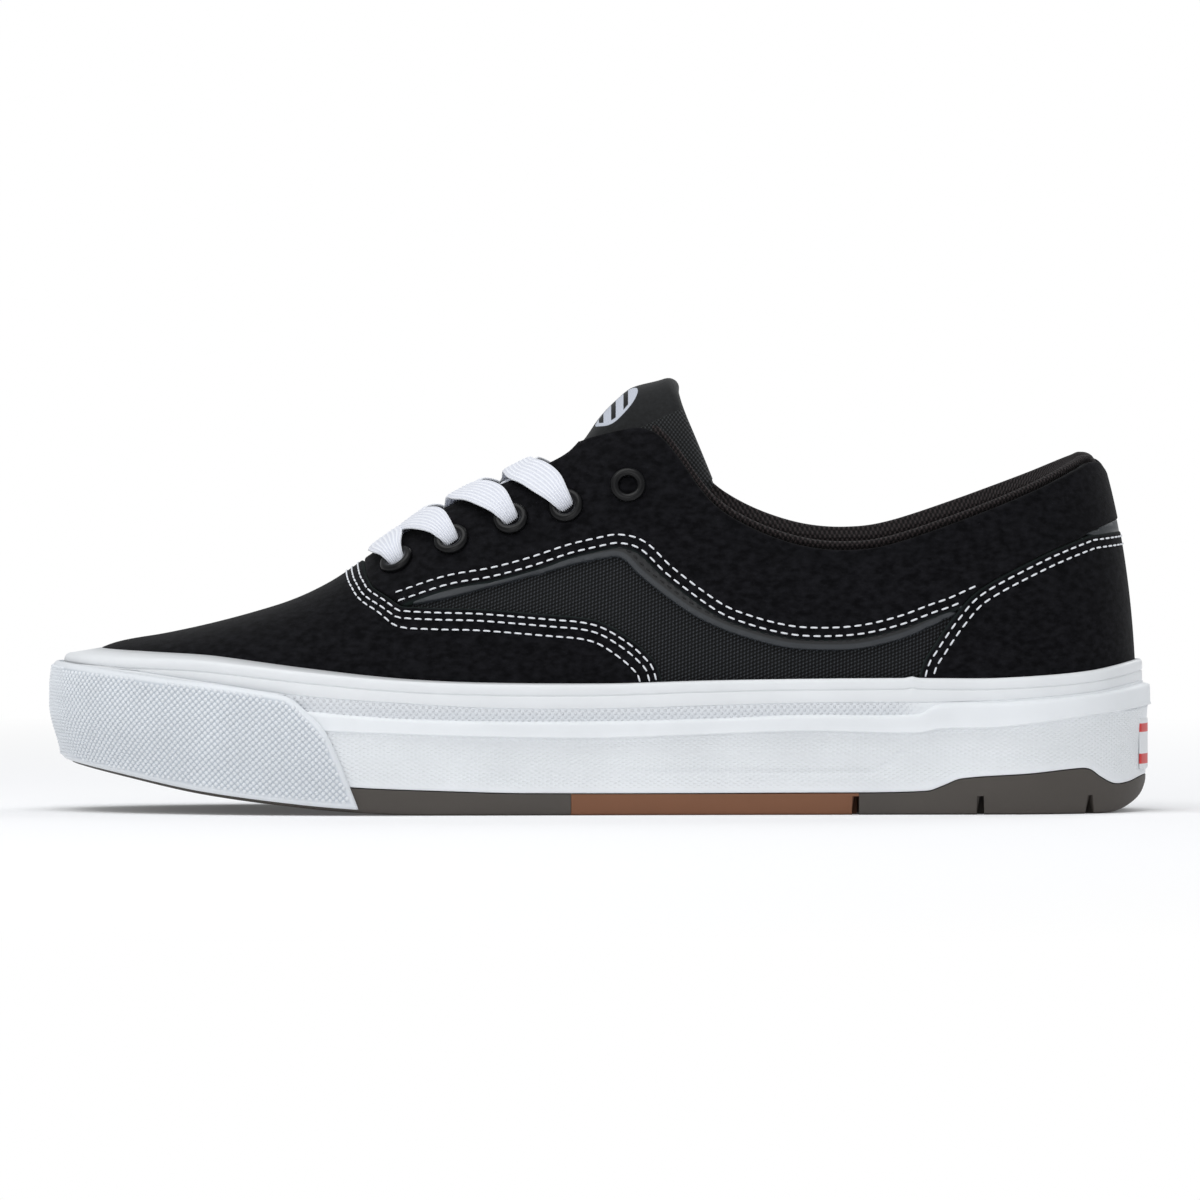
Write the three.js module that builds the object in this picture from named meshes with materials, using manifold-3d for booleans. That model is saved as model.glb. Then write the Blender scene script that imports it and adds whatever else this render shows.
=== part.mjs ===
// A low skateboarding shoe for the left foot, size 42, built the way a shoemaker builds it:
// rubber outsole in three pieces, cupped midsole, foxing tape, toe bumper, insole, a hollow
// upper with suede overlays, padded collar lining, tongue, eyelets and flat laces.
// Millimetres, +Z up. The toe points along -X and the outer side of the foot faces -Y.
// The origin is on the floor, under the middle of the shoe's length and width.

import * as THREE from "three";
import { mergeVertices } from "three/addons/utils/BufferGeometryUtils.js";
import Module from "manifold-3d";

const wasm = await Module();
wasm.setup();

// Driving sizes
const SHOE_LENGTH = 292; // front of the toe bumper to the back of the heel band
const BALL_WIDTH = 104; // the sole's wall across the ball of the foot
const SOLE_HEIGHT = 36; // floor to the top of the foxing at the waist
const BACK_HEIGHT = 96; // floor to the collar's top at the back of the heel
const BOARD_HEIGHT = 24; // floor to the footbed under the heel
const UPPER_WALL = 1.6; // textile and its backing
const SUEDE = 1.2; // an overlay's thickness
const TRIM = 0.9; // the smooth strip under the quarter's edge
const GAP = 0.3; // between two pieces that are glued or sewn together
const FOXING = 1.2; // inset of the foxing's face from the sole's wall
const FOXING_EDGE = 1.5; // inset of its top edge
const FEATHER = 4.2; // inset of the upper's lower edge from the sole's wall
const BAND_PROUD = 1; // how far the moulded band stands out of the wall
const BUMPER = 2.5; // thickness of the toe bumper
const TOE_TUCK = 2.4; // how far the wall draws in under the toe
const TAB = 0.4; // thickness of the plain tab at the heel
const TAB_HALF = 17; // half its width round the heel
const CUP_INSET = 0.6; // inset of the cup's lower edge from the sole's wall
const CUP_INSET_TOP = 0.2; // the same under the band
const BAND_LIP = 0.6; // height of the band's rounded edges
const TREAD_EDGE = 1.2; // the outsole's bevel
const LUG_DEPTH = 1.6;
const LUG_WIDTH = 2.4;
const LUG_PITCH = 12;
const LUG_BORDER = 9; // tread left whole at the sole's edge
const SLOT_WIDTH = 2;
const SLOT_HEIGHT = 4.2;
const SLOT_DEPTH = 9;
const FOXING_REACH = 22; // deep enough for the toe, where the form leans back
const BUMPER_CLEAR = 0.9; // the bumper's lower edge above the outsole's underside
const BUMPER_LAP = 1; // how far it laps up over the foxing's lower edge
const INSOLE = 4.5;
const LINING = 4.5; // padding of the collar
const TONGUE = 5.5;
const TONGUE_DROP = 1.3; // room between the eyestays and the tongue
const LACE_WIDTH = 8;
const LACE_THICK = 1.4;
const LACE_PINCH = 0.55; // share of its width that a lace keeps at an eyelet
const LACE_BOW = 1; // the lowest lace's bulge towards the toe
const LACE_EDGE = 0.6; // how much higher a lace rides over the slot's edge
const LACE_SINK = 0.7; // how much further each crossing up the instep sinks into the slot
const EYELET_RADIUS = 5;
const EYELET_BORE = 2.65;
const EYELET_WALL = 0.5;
const EYELET_RIM = 0.7;
const EYELET_REACH = 16; // length of the drill for the eyelet holes
const EYELET_LIFT = 1.1; // room under the rim, for the curve of the eyestay

// Resolution: stations from heel to toe on each side, and steps from the sole's edge to the ridge
const STATIONS = 20;
const LIFTS = 6;
const EYELET_SIDES = 8;
const HOLE_SIDES = 6;

const OUTER = -1;
const INNER = 1;
const OVERLAY_IN = GAP;
const OVERLAY_OUT = GAP + SUEDE;
const FOXING_IN = OVERLAY_OUT + GAP;
const HEEL_X = SHOE_LENGTH / 2 - BAND_PROUD;
const TOE_X = -SHOE_LENGTH / 2 + BUMPER + GAP;
const WALL_LENGTH = HEEL_X - TOE_X;

// Plan and sections of the foot form. at: share of the length from heel to toe. outer, inner:
// half widths of the sole's wall, before its ends are rounded, as shares of the ball width.
// crown: height of the ridge, as a share of the back height. round: how square the section is.
// lean: how much of the way to the ridge the sides cover as a straight slope.
const SECTIONS = [
  { at: 0.0, outer: 0.375, inner: 0.36, crown: 1.33, round: 2.0, lean: 0 },
  { at: 0.1, outer: 0.38, inner: 0.365, crown: 1.33, round: 2.25, lean: 0 },
  { at: 0.2, outer: 0.39, inner: 0.362, crown: 1.33, round: 2.45, lean: 0 },
  { at: 0.3, outer: 0.405, inner: 0.355, crown: 1.32, round: 2.5, lean: 0.04 },
  { at: 0.37, outer: 0.418, inner: 0.355, crown: 1.29, round: 2.6, lean: 0.12 },
  { at: 0.41, outer: 0.427, inner: 0.355, crown: 1.265, round: 2.7, lean: 0.18 },
  { at: 0.448, outer: 0.436, inner: 0.365, crown: 1.222, round: 2.95, lean: 0.22 },
  { at: 0.479, outer: 0.445, inner: 0.375, crown: 1.195, round: 3.3, lean: 0.25 },
  { at: 0.497, outer: 0.449, inner: 0.38, crown: 1.152, round: 3.5, lean: 0.28 },
  { at: 0.512, outer: 0.454, inner: 0.386, crown: 1.104, round: 3.7, lean: 0.29 },
  { at: 0.53, outer: 0.46, inner: 0.394, crown: 1.03, round: 3.8, lean: 0.3 },
  { at: 0.56, outer: 0.468, inner: 0.408, crown: 0.965, round: 3.8, lean: 0.3 },
  { at: 0.6, outer: 0.48, inner: 0.43, crown: 0.904, round: 3.7, lean: 0.3 },
  { at: 0.65, outer: 0.493, inner: 0.46, crown: 0.825, round: 3.5, lean: 0.28 },
  { at: 0.7, outer: 0.505, inner: 0.485, crown: 0.717, round: 3.0, lean: 0.24 },
  { at: 0.75, outer: 0.51, inner: 0.505, crown: 0.614, round: 2.9, lean: 0.16 },
  { at: 0.8, outer: 0.51, inner: 0.52, crown: 0.549, round: 2.9, lean: 0.08 },
  { at: 0.9, outer: 0.5, inner: 0.53, crown: 0.474, round: 3.4, lean: 0 },
  { at: 1.0, outer: 0.49, inner: 0.53, crown: 0.438, round: 3.8, lean: 0 },
];
const HEEL_ROUND = { reach: 0.15, power: 2.1 };
const TOE_ROUND = { reach: 0.3, power: 2.15 };
const TOE_SWING = 0.05; // the toe's shift towards the big toe, as a share of the ball width
const HEEL_SWING = 0.026; // the heel's shift the other way, which centres the shoe on its origin
const RIDGE_SWING = 0.012; // the same for the ridge of the instep
const RIDGE_ENDS = { heel: 0.136, toe: 0.88 }; // where the ridge starts and stops along the length

// The sole's wall from the side, as shares of the sole's height: the lower and upper edge of the
// moulded band, and of the foxing tape above it
const SIDE = [
  { at: 0.0, bandLow: 0.785, bandTop: 0.94, tapeLow: 0.96, tapeTop: 1.118 },
  { at: 0.05, bandLow: 0.728, bandTop: 0.872, tapeLow: 0.887, tapeTop: 1.046 },
  { at: 0.135, bandLow: 0.642, bandTop: 0.82, tapeLow: 0.833, tapeTop: 1.0 },
  { at: 0.193, bandLow: 0.628, bandTop: 0.806, tapeLow: 0.82, tapeTop: 0.998 },
  { at: 0.212, bandLow: 0.6, bandTop: 0.735, tapeLow: 0.818, tapeTop: 1.0 },
  { at: 0.32, bandLow: 0.614, bandTop: 0.728, tapeLow: 0.814, tapeTop: 0.994 },
  { at: 0.41, bandLow: 0.59, bandTop: 0.7, tapeLow: 0.794, tapeTop: 0.98 },
  { at: 0.5, bandLow: 0.567, bandTop: 0.686, tapeLow: 0.775, tapeTop: 0.958 },
  { at: 0.6, bandLow: 0.575, bandTop: 0.686, tapeLow: 0.78, tapeTop: 0.967 },
  { at: 0.69, bandLow: 0.6, bandTop: 0.708, tapeLow: 0.82, tapeTop: 1.003 },
  { at: 0.78, bandLow: 0.633, bandTop: 0.767, tapeLow: 0.875, tapeTop: 1.068 },
  { at: 0.87, bandLow: 0.71, bandTop: 0.86, tapeLow: 0.975, tapeTop: 1.142 },
  { at: 0.94, bandLow: 0.78, bandTop: 0.93, tapeLow: 1.05, tapeTop: 1.178 },
  { at: 1.0, bandLow: 0.83, bandTop: 0.97, tapeLow: 1.095, tapeTop: 1.2 },
];
// Underside of the outsole, as shares of the sole's height
const FLOOR = [
  { at: 0.045, up: 0 },
  { at: 0.66, up: 0 },
  { at: 0.72, up: 0.018 },
  { at: 0.78, up: 0.058 },
  { at: 0.87, up: 0.15 },
  { at: 0.943, up: 0.264 },
  { at: 1.0, up: 0.355 },
];
const HEEL_ROLL = { reach: 0.042, up: 0.23 };
// Line between outsole and midsole, as shares of the sole's height
const PARTING = [
  { at: -0.03, up: 0.29 },
  { at: 0.002, up: 0.27 },
  { at: 0.018, up: 0.225 },
  { at: 0.031, up: 0.217 },
  { at: 0.044, up: 0.27 },
  { at: 0.053, up: 0.322 },
  { at: 0.062, up: 0.333 },
  { at: 0.109, up: 0.297 },
  { at: 0.173, up: 0.261 },
  { at: 0.189, up: 0.211 },
  { at: 0.204, up: 0.172 },
  { at: 0.31, up: 0.16 },
  { at: 0.57, up: 0.16 },
  { at: 0.64, up: 0.175 },
  { at: 0.727, up: 0.203 },
  { at: 0.787, up: 0.24 },
  { at: 0.853, up: 0.29 },
  { at: 0.94, up: 0.39 },
  { at: 1.03, up: 0.53 },
];
// The footbed, as shares of its height under the heel
const BOARD = [
  { at: 0, up: 1 },
  { at: 0.12, up: 1 },
  { at: 0.3, up: 0.92 },
  { at: 0.5, up: 0.77 },
  { at: 0.65, up: 0.69 },
  { at: 0.78, up: 0.69 },
  { at: 0.9, up: 0.8 },
  { at: 1, up: 0.95 },
];

// Outlines drawn in the side view. at: share of the length. up: share of the back height.
const TOPLINE = [
  { at: 0.56, up: 0.985 },
  { at: 0.53, up: 1.006 },
  { at: 0.507, up: 1.03 },
  { at: 0.485, up: 1.048 },
  { at: 0.466, up: 1.056 },
  { at: 0.448, up: 1.035 },
  { at: 0.43, up: 0.975 },
  { at: 0.41, up: 0.89 },
  { at: 0.39, up: 0.83 },
  { at: 0.355, up: 0.773 },
  { at: 0.315, up: 0.735 },
  { at: 0.275, up: 0.725 },
  { at: 0.235, up: 0.742 },
  { at: 0.17, up: 0.808 },
  { at: 0.11, up: 0.88 },
  { at: 0.066, up: 0.945 },
  { at: 0.057, up: 0.96 },
  { at: 0.047, up: 0.958 },
  { at: 0.037, up: 0.92 },
  { at: -0.02, up: 0.7 },
];
const INNER_RISE = 0.038; // how much higher the collar is on the inner side, of the back height
const QUARTER_EDGE = [
  { at: 0.73, up: 0.62 },
  { at: 0.7, up: 0.572 },
  { at: 0.68, up: 0.57 },
  { at: 0.64, up: 0.613 },
  { at: 0.6, up: 0.637 },
  { at: 0.568, up: 0.668 },
  { at: 0.53, up: 0.706 },
  { at: 0.5, up: 0.73 },
  { at: 0.487, up: 0.735 },
  { at: 0.47, up: 0.718 },
  { at: 0.445, up: 0.65 },
  { at: 0.4, up: 0.555 },
  { at: 0.37, up: 0.516 },
  { at: 0.333, up: 0.489 },
  { at: 0.3, up: 0.482 },
  { at: 0.263, up: 0.488 },
  { at: 0.227, up: 0.511 },
  { at: 0.196, up: 0.544 },
];
const COUNTER_EDGE = [
  { at: 0.215, up: 0.3 },
  { at: 0.209, up: 0.4 },
  { at: 0.197, up: 0.5 },
  { at: 0.177, up: 0.557 },
  { at: 0.151, up: 0.625 },
  { at: 0.103, up: 0.703 },
  { at: 0.062, up: 0.752 },
  { at: 0.047, up: 0.757 },
  { at: -0.02, up: 0.785 },
];
const HEEL_TRIM = [
  { at: 0.068, up: 0.75 },
  { at: 0.052, up: 0.783 },
  { at: -0.02, up: 0.8 },
];
const VAMP_EDGE = [
  { at: 0.721, up: 0.8 },
  { at: 0.721, up: 0.7 },
  { at: 0.716, up: 0.655 },
  { at: 0.709, up: 0.622 },
  { at: 0.698, up: 0.592 },
  { at: 0.683, up: 0.576 },
  { at: 0.61, up: 0.561 },
  { at: 0.548, up: 0.547 },
  { at: 0.517, up: 0.539 },
  { at: 0.496, up: 0.521 },
  { at: 0.476, up: 0.485 },
  { at: 0.459, up: 0.441 },
  { at: 0.449, up: 0.398 },
  { at: 0.442, up: 0.3 },
];
const TRIM_EDGE = [
  { at: 0.672, up: 0.572 },
  { at: 0.64, up: 0.592 },
  { at: 0.609, up: 0.617 },
  { at: 0.568, up: 0.648 },
  { at: 0.527, up: 0.683 },
  { at: 0.496, up: 0.702 },
  { at: 0.488, up: 0.704 },
  { at: 0.48, up: 0.695 },
  { at: 0.464, up: 0.647 },
  { at: 0.426, up: 0.561 },
  { at: 0.398, up: 0.516 },
  { at: 0.37, up: 0.485 },
  { at: 0.333, up: 0.457 },
  { at: 0.295, up: 0.45 },
  { at: 0.263, up: 0.455 },
  { at: 0.227, up: 0.477 },
  { at: 0.2, up: 0.505 },
];
const BUMPER_TOP = [
  { at: 1.03, up: 1.12 },
  { at: 0.99, up: 1.07 },
  { at: 0.918, up: 0.985 },
  { at: 0.853, up: 0.93 },
  { at: 0.797, up: 0.876 },
  { at: 0.783, up: 0.84 },
  { at: 0.768, up: 0.74 },
  { at: 0.755, up: 0.637 },
  { at: 0.744, up: 0.465 },
  { at: 0.734, up: 0.272 },
  { at: 0.723, up: 0.05 },
];
const TONGUE_BACK = [
  { at: 0.448, up: 1.22 },
  { at: 0.446, up: 1.187 },
  { at: 0.439, up: 1.178 },
  { at: 0.4335, up: 1.155 },
  { at: 0.428, up: 1.11 },
  { at: 0.4155, up: 1.027 },
  { at: 0.4, up: 0.92 },
];
const TONGUE_EDGE = [
  { at: 0.43, up: 0.8 },
  { at: 0.55, up: 0.66 },
  { at: 0.74, up: 0.58 },
];
const LINING_EDGE = [
  { at: 0.4, up: 0.66 },
  { at: 0.28, up: 0.5 },
  { at: 0.13, up: 0.56 },
  { at: -0.02, up: 0.6 },
];
const LINING_PROUD = 2; // how far the lining rolls over the suede's top edge

// The slot between the eyestays, seen from above. half: share of the way from ridge to foot.
const THROAT = [
  { at: 0.44, half: 0.56 },
  { at: 0.505, half: 0.514 },
  { at: 0.531, half: 0.477 },
  { at: 0.585, half: 0.408 },
  { at: 0.64, half: 0.328 },
  { at: 0.688, half: 0.245 },
  { at: 0.702, half: 0.2 },
  { at: 0.71, half: 0.13 },
  { at: 0.714, half: 0.0 },
];
const EYELETS = [
  { at: 0.686, up: 0.682 },
  { at: 0.637, up: 0.741 },
  { at: 0.583, up: 0.8 },
  { at: 0.532, up: 0.838 },
  { at: 0.477, up: 0.897 },
];

// Outsole joints and the cuts that show on its side, as shares of the length
const ARCH = { front: 0.529, back: 0.266 };
const ARCH_JOINT = 1.5;
const SLOTS = [0.155, 0.055];
const HEEL_TAB = { low: 0.31, high: 0.69 };

// Value of a table's column at a share of the length, on a smooth curve through its rows
function along(table, column, at) {
  const last = table.length - 1;
  let i = 0;
  while (i < last - 1 && at > table[i + 1].at) i++;
  const slope = (j) => {
    const a = Math.max(j - 1, 0);
    const b = Math.min(j + 1, last);
    return (table[b][column] - table[a][column]) / (table[b].at - table[a].at);
  };
  const span = table[i + 1].at - table[i].at;
  const t = Math.min(Math.max((at - table[i].at) / span, 0), 1);
  const from = table[i][column];
  const to = table[i + 1][column];
  const bend = (1 - t) ** 2 * t * slope(i) * span - t ** 2 * (1 - t) * slope(i + 1) * span;
  return from * (1 + 2 * t) * (1 - t) ** 2 + to * t ** 2 * (3 - 2 * t) + bend;
}

const mix = (a, b, share) => a + (b - a) * share;
const xAt = (at) => HEEL_X - at * WALL_LENGTH;
const atX = (x) => (HEEL_X - x) / WALL_LENGTH;
const clampShare = (at) => Math.min(Math.max(at, 0), 1);
const shareOf = (turn) => (1 - Math.cos(turn)) / 2;
const sideOf = (turn) => (Math.sin(turn) >= 0 ? OUTER : INNER);

// How much of its half width the outline keeps near its rounded ends
function endRound(at) {
  const close = (part, { reach, power }) =>
    part >= reach ? 1 : (1 - (1 - part / reach) ** power) ** (1 / power);
  return close(at, HEEL_ROUND) * close(1 - at, TOE_ROUND);
}

const footLine = (at) => BALL_WIDTH * (TOE_SWING * at ** 2 - HEEL_SWING);
const ridgeLine = (at) => footLine(at) + BALL_WIDTH * RIDGE_SWING * Math.sin(Math.PI * at);
const halfWidth = (at, side) => BALL_WIDTH * along(SECTIONS, side === OUTER ? "outer" : "inner", at);
const boardZ = (at) => BOARD_HEIGHT * along(BOARD, "up", clampShare(at));
const crownZ = (at) => BACK_HEIGHT * along(SECTIONS, "crown", clampShare(at));
const sideZ = (column, at) => SOLE_HEIGHT * along(SIDE, column, at);

// Underside of the outsole: flat, with a toe spring and a rolled heel
function floorZ(at) {
  if (at >= HEEL_ROLL.reach) return SOLE_HEIGHT * Math.max(along(FLOOR, "up", at), 0);
  const roll = 1 - at / HEEL_ROLL.reach;
  return SOLE_HEIGHT * HEEL_ROLL.up * (1 - Math.sqrt(1 - roll ** 2));
}

// Outline of the sole's wall. turn runs from the heel, 0, along the outer side to the toe, pi,
// and back along the inner side.
function outline(turn) {
  const at = shareOf(turn);
  const side = sideOf(turn);
  return new THREE.Vector2(xAt(at), footLine(at) + side * halfWidth(at, side) * endRound(at));
}

// The same outline, moved inwards by inset
function wall(turn, inset) {
  const step = 0.02;
  const run = outline(turn + step).sub(outline(turn - step)).normalize();
  return outline(turn).add(new THREE.Vector2(run.y, -run.x).multiplyScalar(inset));
}

// A point of the foot form's surface. lift runs from the sole's edge, 0, to the ridge, 1.
function formPoint(turn, lift) {
  const at = shareOf(turn);
  const foot = wall(turn, FEATHER);
  const top = RIDGE_ENDS.heel + (RIDGE_ENDS.toe - RIDGE_ENDS.heel) * at;
  const bend = 2 / along(SECTIONS, "round", at);
  const angle = (lift * Math.PI) / 2;
  const upward = Math.sin(angle) ** bend;
  const inward = mix(1 - Math.cos(angle) ** bend, upward, along(SECTIONS, "lean", at));
  const x = foot.x + (xAt(top) - foot.x) * inward;
  const y = foot.y + (ridgeLine(top) - foot.y) * inward;
  const base = boardZ(at);
  return new THREE.Vector3(x, y, base + (crownZ(atX(x)) - base) * upward);
}

function formNormal(turn, lift) {
  const step = 0.004;
  if (lift > 1 - step) {
    const { x } = formPoint(turn, 1);
    const rise = (crownZ(atX(x + 2)) - crownZ(atX(x - 2))) / 4;
    return new THREE.Vector3(-rise, 0, 1).normalize();
  }
  const low = Math.max(lift - step, 0);
  const round = formPoint(turn + 0.02, lift).sub(formPoint(turn - 0.02, lift));
  const up = formPoint(turn, lift + step).sub(formPoint(turn, low));
  return up.cross(round).normalize();
}

// The foot form grown by offset along its own normals
const grown = (turn, lift, offset) =>
  formPoint(turn, lift).addScaledVector(formNormal(turn, lift), offset);

function toSolid(geometry) {
  const bare = geometry.clone();
  bare.deleteAttribute("normal");
  bare.deleteAttribute("uv");
  const merged = mergeVertices(bare, 1e-3);
  return new wasm.Manifold(
    new wasm.Mesh({
      numProp: 3,
      vertProperties: merged.attributes.position.array,
      triVerts: new Uint32Array(merged.index.array),
    }),
  );
}

function toGeometry(solid) {
  const mesh = solid.getMesh();
  return new THREE.BufferGeometry()
    .setAttribute("position", new THREE.BufferAttribute(mesh.vertProperties, 3))
    .setIndex(new THREE.BufferAttribute(mesh.triVerts, 1));
}

// A closed body through rings of equally many points. Rings run round the shoe from the heel,
// and the ends are closed across the shoe, or else the last ring meets the first.
function loft(rings, { hollow = false, pointed = false } = {}) {
  const count = rings[0].length;
  const positions = rings.flat().flatMap((p) => [p.x, p.y, p.z]);
  const index = [];
  const quad = (a, b, c, d) => index.push(a, b, c, a, c, d);
  const bands = hollow ? rings.length : rings.length - 1;
  for (let j = 0; j < bands; j++) {
    const low = j * count;
    const high = ((j + 1) % rings.length) * count;
    for (let i = 0; i < count; i++) {
      const next = (i + 1) % count;
      quad(low + i, high + i, high + next, low + next);
    }
  }
  const cap = (start, upward) => {
    for (let i = 0; i < count / 2; i++) {
      const [a, b] = [start + i, start + i + 1];
      const [c, d] = [start + ((count - i - 1) % count), start + ((count - i) % count)];
      const corners = upward ? [a, d, c, b] : [a, b, c, d];
      if (i === 0) index.push(corners[0], corners[upward ? 2 : 1], corners[upward ? 3 : 2]);
      else if (i === count / 2 - 1) index.push(a, upward ? d : b, upward ? b : d);
      else quad(...corners);
    }
  };
  if (!hollow) {
    cap(0, false);
    if (!pointed) cap((rings.length - 1) * count, true);
  }
  const geometry = new THREE.BufferGeometry();
  geometry.setAttribute("position", new THREE.Float32BufferAttribute(positions, 3));
  geometry.setIndex(index);
  return toSolid(geometry);
}

// Turns of the stations: even round the ends, with the band's step at the heel and its end
// under the toe bumper added
const BAND_END = { from: 0.742, to: 0.757 };
const BASE_TURNS = Array.from({ length: STATIONS + 1 }, (_, i) => (i * Math.PI) / STATIONS);
const STEP_TURNS = [0.193, 0.212, BAND_END.from, BAND_END.to].map((at) => Math.acos(1 - 2 * at));
const SOLE_TURNS = [...BASE_TURNS, ...STEP_TURNS].sort((a, b) => a - b);
const ringTurns = (turns) => [...turns, ...turns.slice(1, -1).reverse().map((t) => 2 * Math.PI - t)];

// One ring of the sole: inset from the wall and height, each a number or a function of the share
function soleRing(inset, height) {
  const value = (v, at) => (typeof v === "function" ? v(at) : v);
  return ringTurns(SOLE_TURNS).map((turn) => {
    const at = shareOf(turn);
    const p = wall(turn, value(inset, at));
    return new THREE.Vector3(p.x, p.y, value(height, at));
  });
}

// The foot form grown by offset. It starts just over the footbed, or drops straight below it.
function form(offset, drop = 0) {
  const turns = ringTurns(BASE_TURNS);
  const base = (height) =>
    turns.map((turn) => grown(turn, 0, offset).setZ(boardZ(shareOf(turn)) + height));
  const rings = drop > 0 ? [base(-drop), base(GAP)] : [base(GAP)];
  for (let j = 1; j <= LIFTS; j++) {
    rings.push(turns.map((turn) => grown(turn, j / LIFTS, offset)));
  }
  return loft(rings, { pointed: true });
}

// Side-view points as lengths and heights
const drawn = (rows, height, rise = 0) =>
  rows.map(({ at, up }) => new THREE.Vector2(xAt(at), up * height + rise));
const corner = (at, z) => new THREE.Vector2(xAt(at), z);

// A block with that outline in the side view, running across the shoe from one y to another.
// innerRise lifts its inner half, by that much at the end of the span.
function sideBlock(points, from, to, innerRise = 0) {
  const shape = new THREE.Shape(points);
  const geometry = new THREE.ExtrudeGeometry(shape, {
    depth: to - from,
    steps: innerRise > 0 ? 2 : 1,
    bevelEnabled: false,
  });
  geometry.rotateX(Math.PI / 2).translate(0, to, 0);
  const position = geometry.attributes.position;
  for (let i = 0; i < position.count; i++) {
    const share = Math.max(position.getY(i) / SPAN, 0);
    position.setZ(i, position.getZ(i) + share * innerRise);
  }
  return toSolid(geometry);
}

// A block with that outline seen from above
function planBlock(points, from, to) {
  const shape = new THREE.Shape(points);
  const geometry = new THREE.ExtrudeGeometry(shape, {
    depth: to - from,
    steps: 1,
    bevelEnabled: false,
  });
  return toSolid(geometry.translate(0, 0, from));
}

const SPAN = BALL_WIDTH; // further than any piece reaches sideways
const HIGH = BACK_HEIGHT * 2;
const DEEP = -SOLE_HEIGHT;

// Everything above the collar's line, raised by lift
function aboveCollar(lift) {
  const line = drawn(TOPLINE, BACK_HEIGHT, lift);
  const points = [...line, corner(-0.1, line.at(-1).y), corner(-0.1, HIGH), corner(TOPLINE[0].at, HIGH)];
  return sideBlock(points, -SPAN, SPAN, (BACK_HEIGHT * INNER_RISE * SPAN) / halfWidth(0.3, INNER));
}

// How far the slot's edge lies from the ridge
function slotHalf(at, side) {
  const ridgeToFoot = halfWidth(at, side) - FEATHER - side * (ridgeLine(at) - footLine(at));
  return along(THROAT, "half", at) * ridgeToFoot;
}

function throatSlot() {
  const edge = (side) =>
    THROAT.map(({ at }) => new THREE.Vector2(xAt(at), ridgeLine(at) + side * slotHalf(at, side)));
  return planBlock([...edge(OUTER), ...edge(INNER).slice(1).reverse()], BACK_HEIGHT * 0.5, HIGH);
}

// Turn and lift of the form's point at a share of the length, as high up a side as isLow allows
function findSpot(at, side, isLow) {
  const onSide = (turn) => (side === OUTER ? turn : 2 * Math.PI - turn);
  let turn = Math.acos(1 - 2 * at);
  let lift = 0.5;
  for (let round = 0; round < 12; round++) {
    let [low, high] = [0, 1];
    for (let i = 0; i < 20; i++) {
      lift = (low + high) / 2;
      if (isLow(formPoint(onSide(turn), lift))) low = lift;
      else high = lift;
    }
    const miss = at - atX(formPoint(onSide(turn), lift).x);
    turn = Math.acos(1 - 2 * clampShare(shareOf(turn) + miss));
  }
  return { turn: onSide(turn), lift };
}

const eyeletSpot = ({ at, up }, side) => findSpot(at, side, (p) => p.z < up * BACK_HEIGHT);

// Beside the slot between the eyestays, at a share of its half width
const slotSpot = (at, side, share) =>
  findSpot(at, side, (p) => {
    const here = atX(p.x);
    return (p.y - ridgeLine(here)) * side > slotHalf(here, side) * share;
  });

// Moves a solid that stands on the XY plane onto the form, its Z along the form's normal
function seat(geometry, { turn, lift }) {
  const normal = formNormal(turn, lift);
  const turned = new THREE.Quaternion().setFromUnitVectors(new THREE.Vector3(0, 0, 1), normal);
  const at = formPoint(turn, lift);
  return geometry.applyQuaternion(turned).translate(at.x, at.y, at.z);
}

const places = [OUTER, INNER].flatMap((side) =>
  EYELETS.map((row, i) => ({ ...eyeletSpot(row, side), side, number: i + 1 })),
);

const lathe = (rows) => {
  const points = rows.map(([r, z]) => new THREE.Vector2(r, z));
  return new THREE.LatheGeometry([...points, points[0]], EYELET_SIDES).rotateX(Math.PI / 2);
};

// An eyelet: a rolled rim on the suede and a barrel through the wall
function eyelet(place) {
  const top = OVERLAY_OUT + EYELET_LIFT;
  const barrel = EYELET_BORE + EYELET_WALL;
  const profile = [
    [EYELET_BORE, -UPPER_WALL],
    [barrel, -UPPER_WALL],
    [barrel, top],
    [EYELET_RADIUS, top],
    [EYELET_BORE + 0.8 * EYELET_WALL, top + EYELET_RIM],
  ];
  return toSolid(seat(lathe(profile), place));
}

function eyeletHole(place) {
  const radius = (EYELET_BORE + EYELET_WALL + GAP) / Math.cos(Math.PI / HOLE_SIDES);
  const drill = new THREE.CylinderGeometry(radius, radius, EYELET_REACH, HOLE_SIDES).rotateX(Math.PI / 2);
  return toSolid(seat(drill, place));
}

// Where a lace passes: over a spot of the form, with its face turned like the form's
const over = ({ turn, lift }, height, wide = 1) => ({
  p: grown(turn, lift, height),
  n: formNormal(turn, lift),
  wide,
});
const between = (a, b, share) => ({
  turn: mix(a.turn, b.turn, share),
  lift: mix(a.lift, b.lift, share),
});

// A flat lace through points, each with the direction that its face looks in and a share of
// the lace's width
function laceStrip(stops) {
  const steps = 2 * (stops.length - 1);
  const route = new THREE.CatmullRomCurve3(stops.map((stop) => stop.p));
  const facing = new THREE.CatmullRomCurve3(stops.map((stop) => stop.n));
  const sections = [];
  for (let i = 0; i <= steps; i++) {
    const u = i / steps;
    const p = route.getPoint(u);
    const run = route.getTangent(u);
    const across = run.clone().cross(facing.getPoint(u)).normalize();
    const up = across.clone().cross(run).normalize();
    const [last, next] = [stops[Math.floor(i / 2)], stops[Math.ceil(i / 2)]];
    const width = (LACE_WIDTH * (last.wide + next.wide)) / 2;
    const at = (w, h) =>
      p.clone().addScaledVector(across, w * width).addScaledVector(up, h * LACE_THICK);
    sections.push([at(-0.5, 0.5), at(-0.5, -0.5), at(0.5, -0.5), at(0.5, 0.5)]);
  }
  return loft(sections);
}

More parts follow.
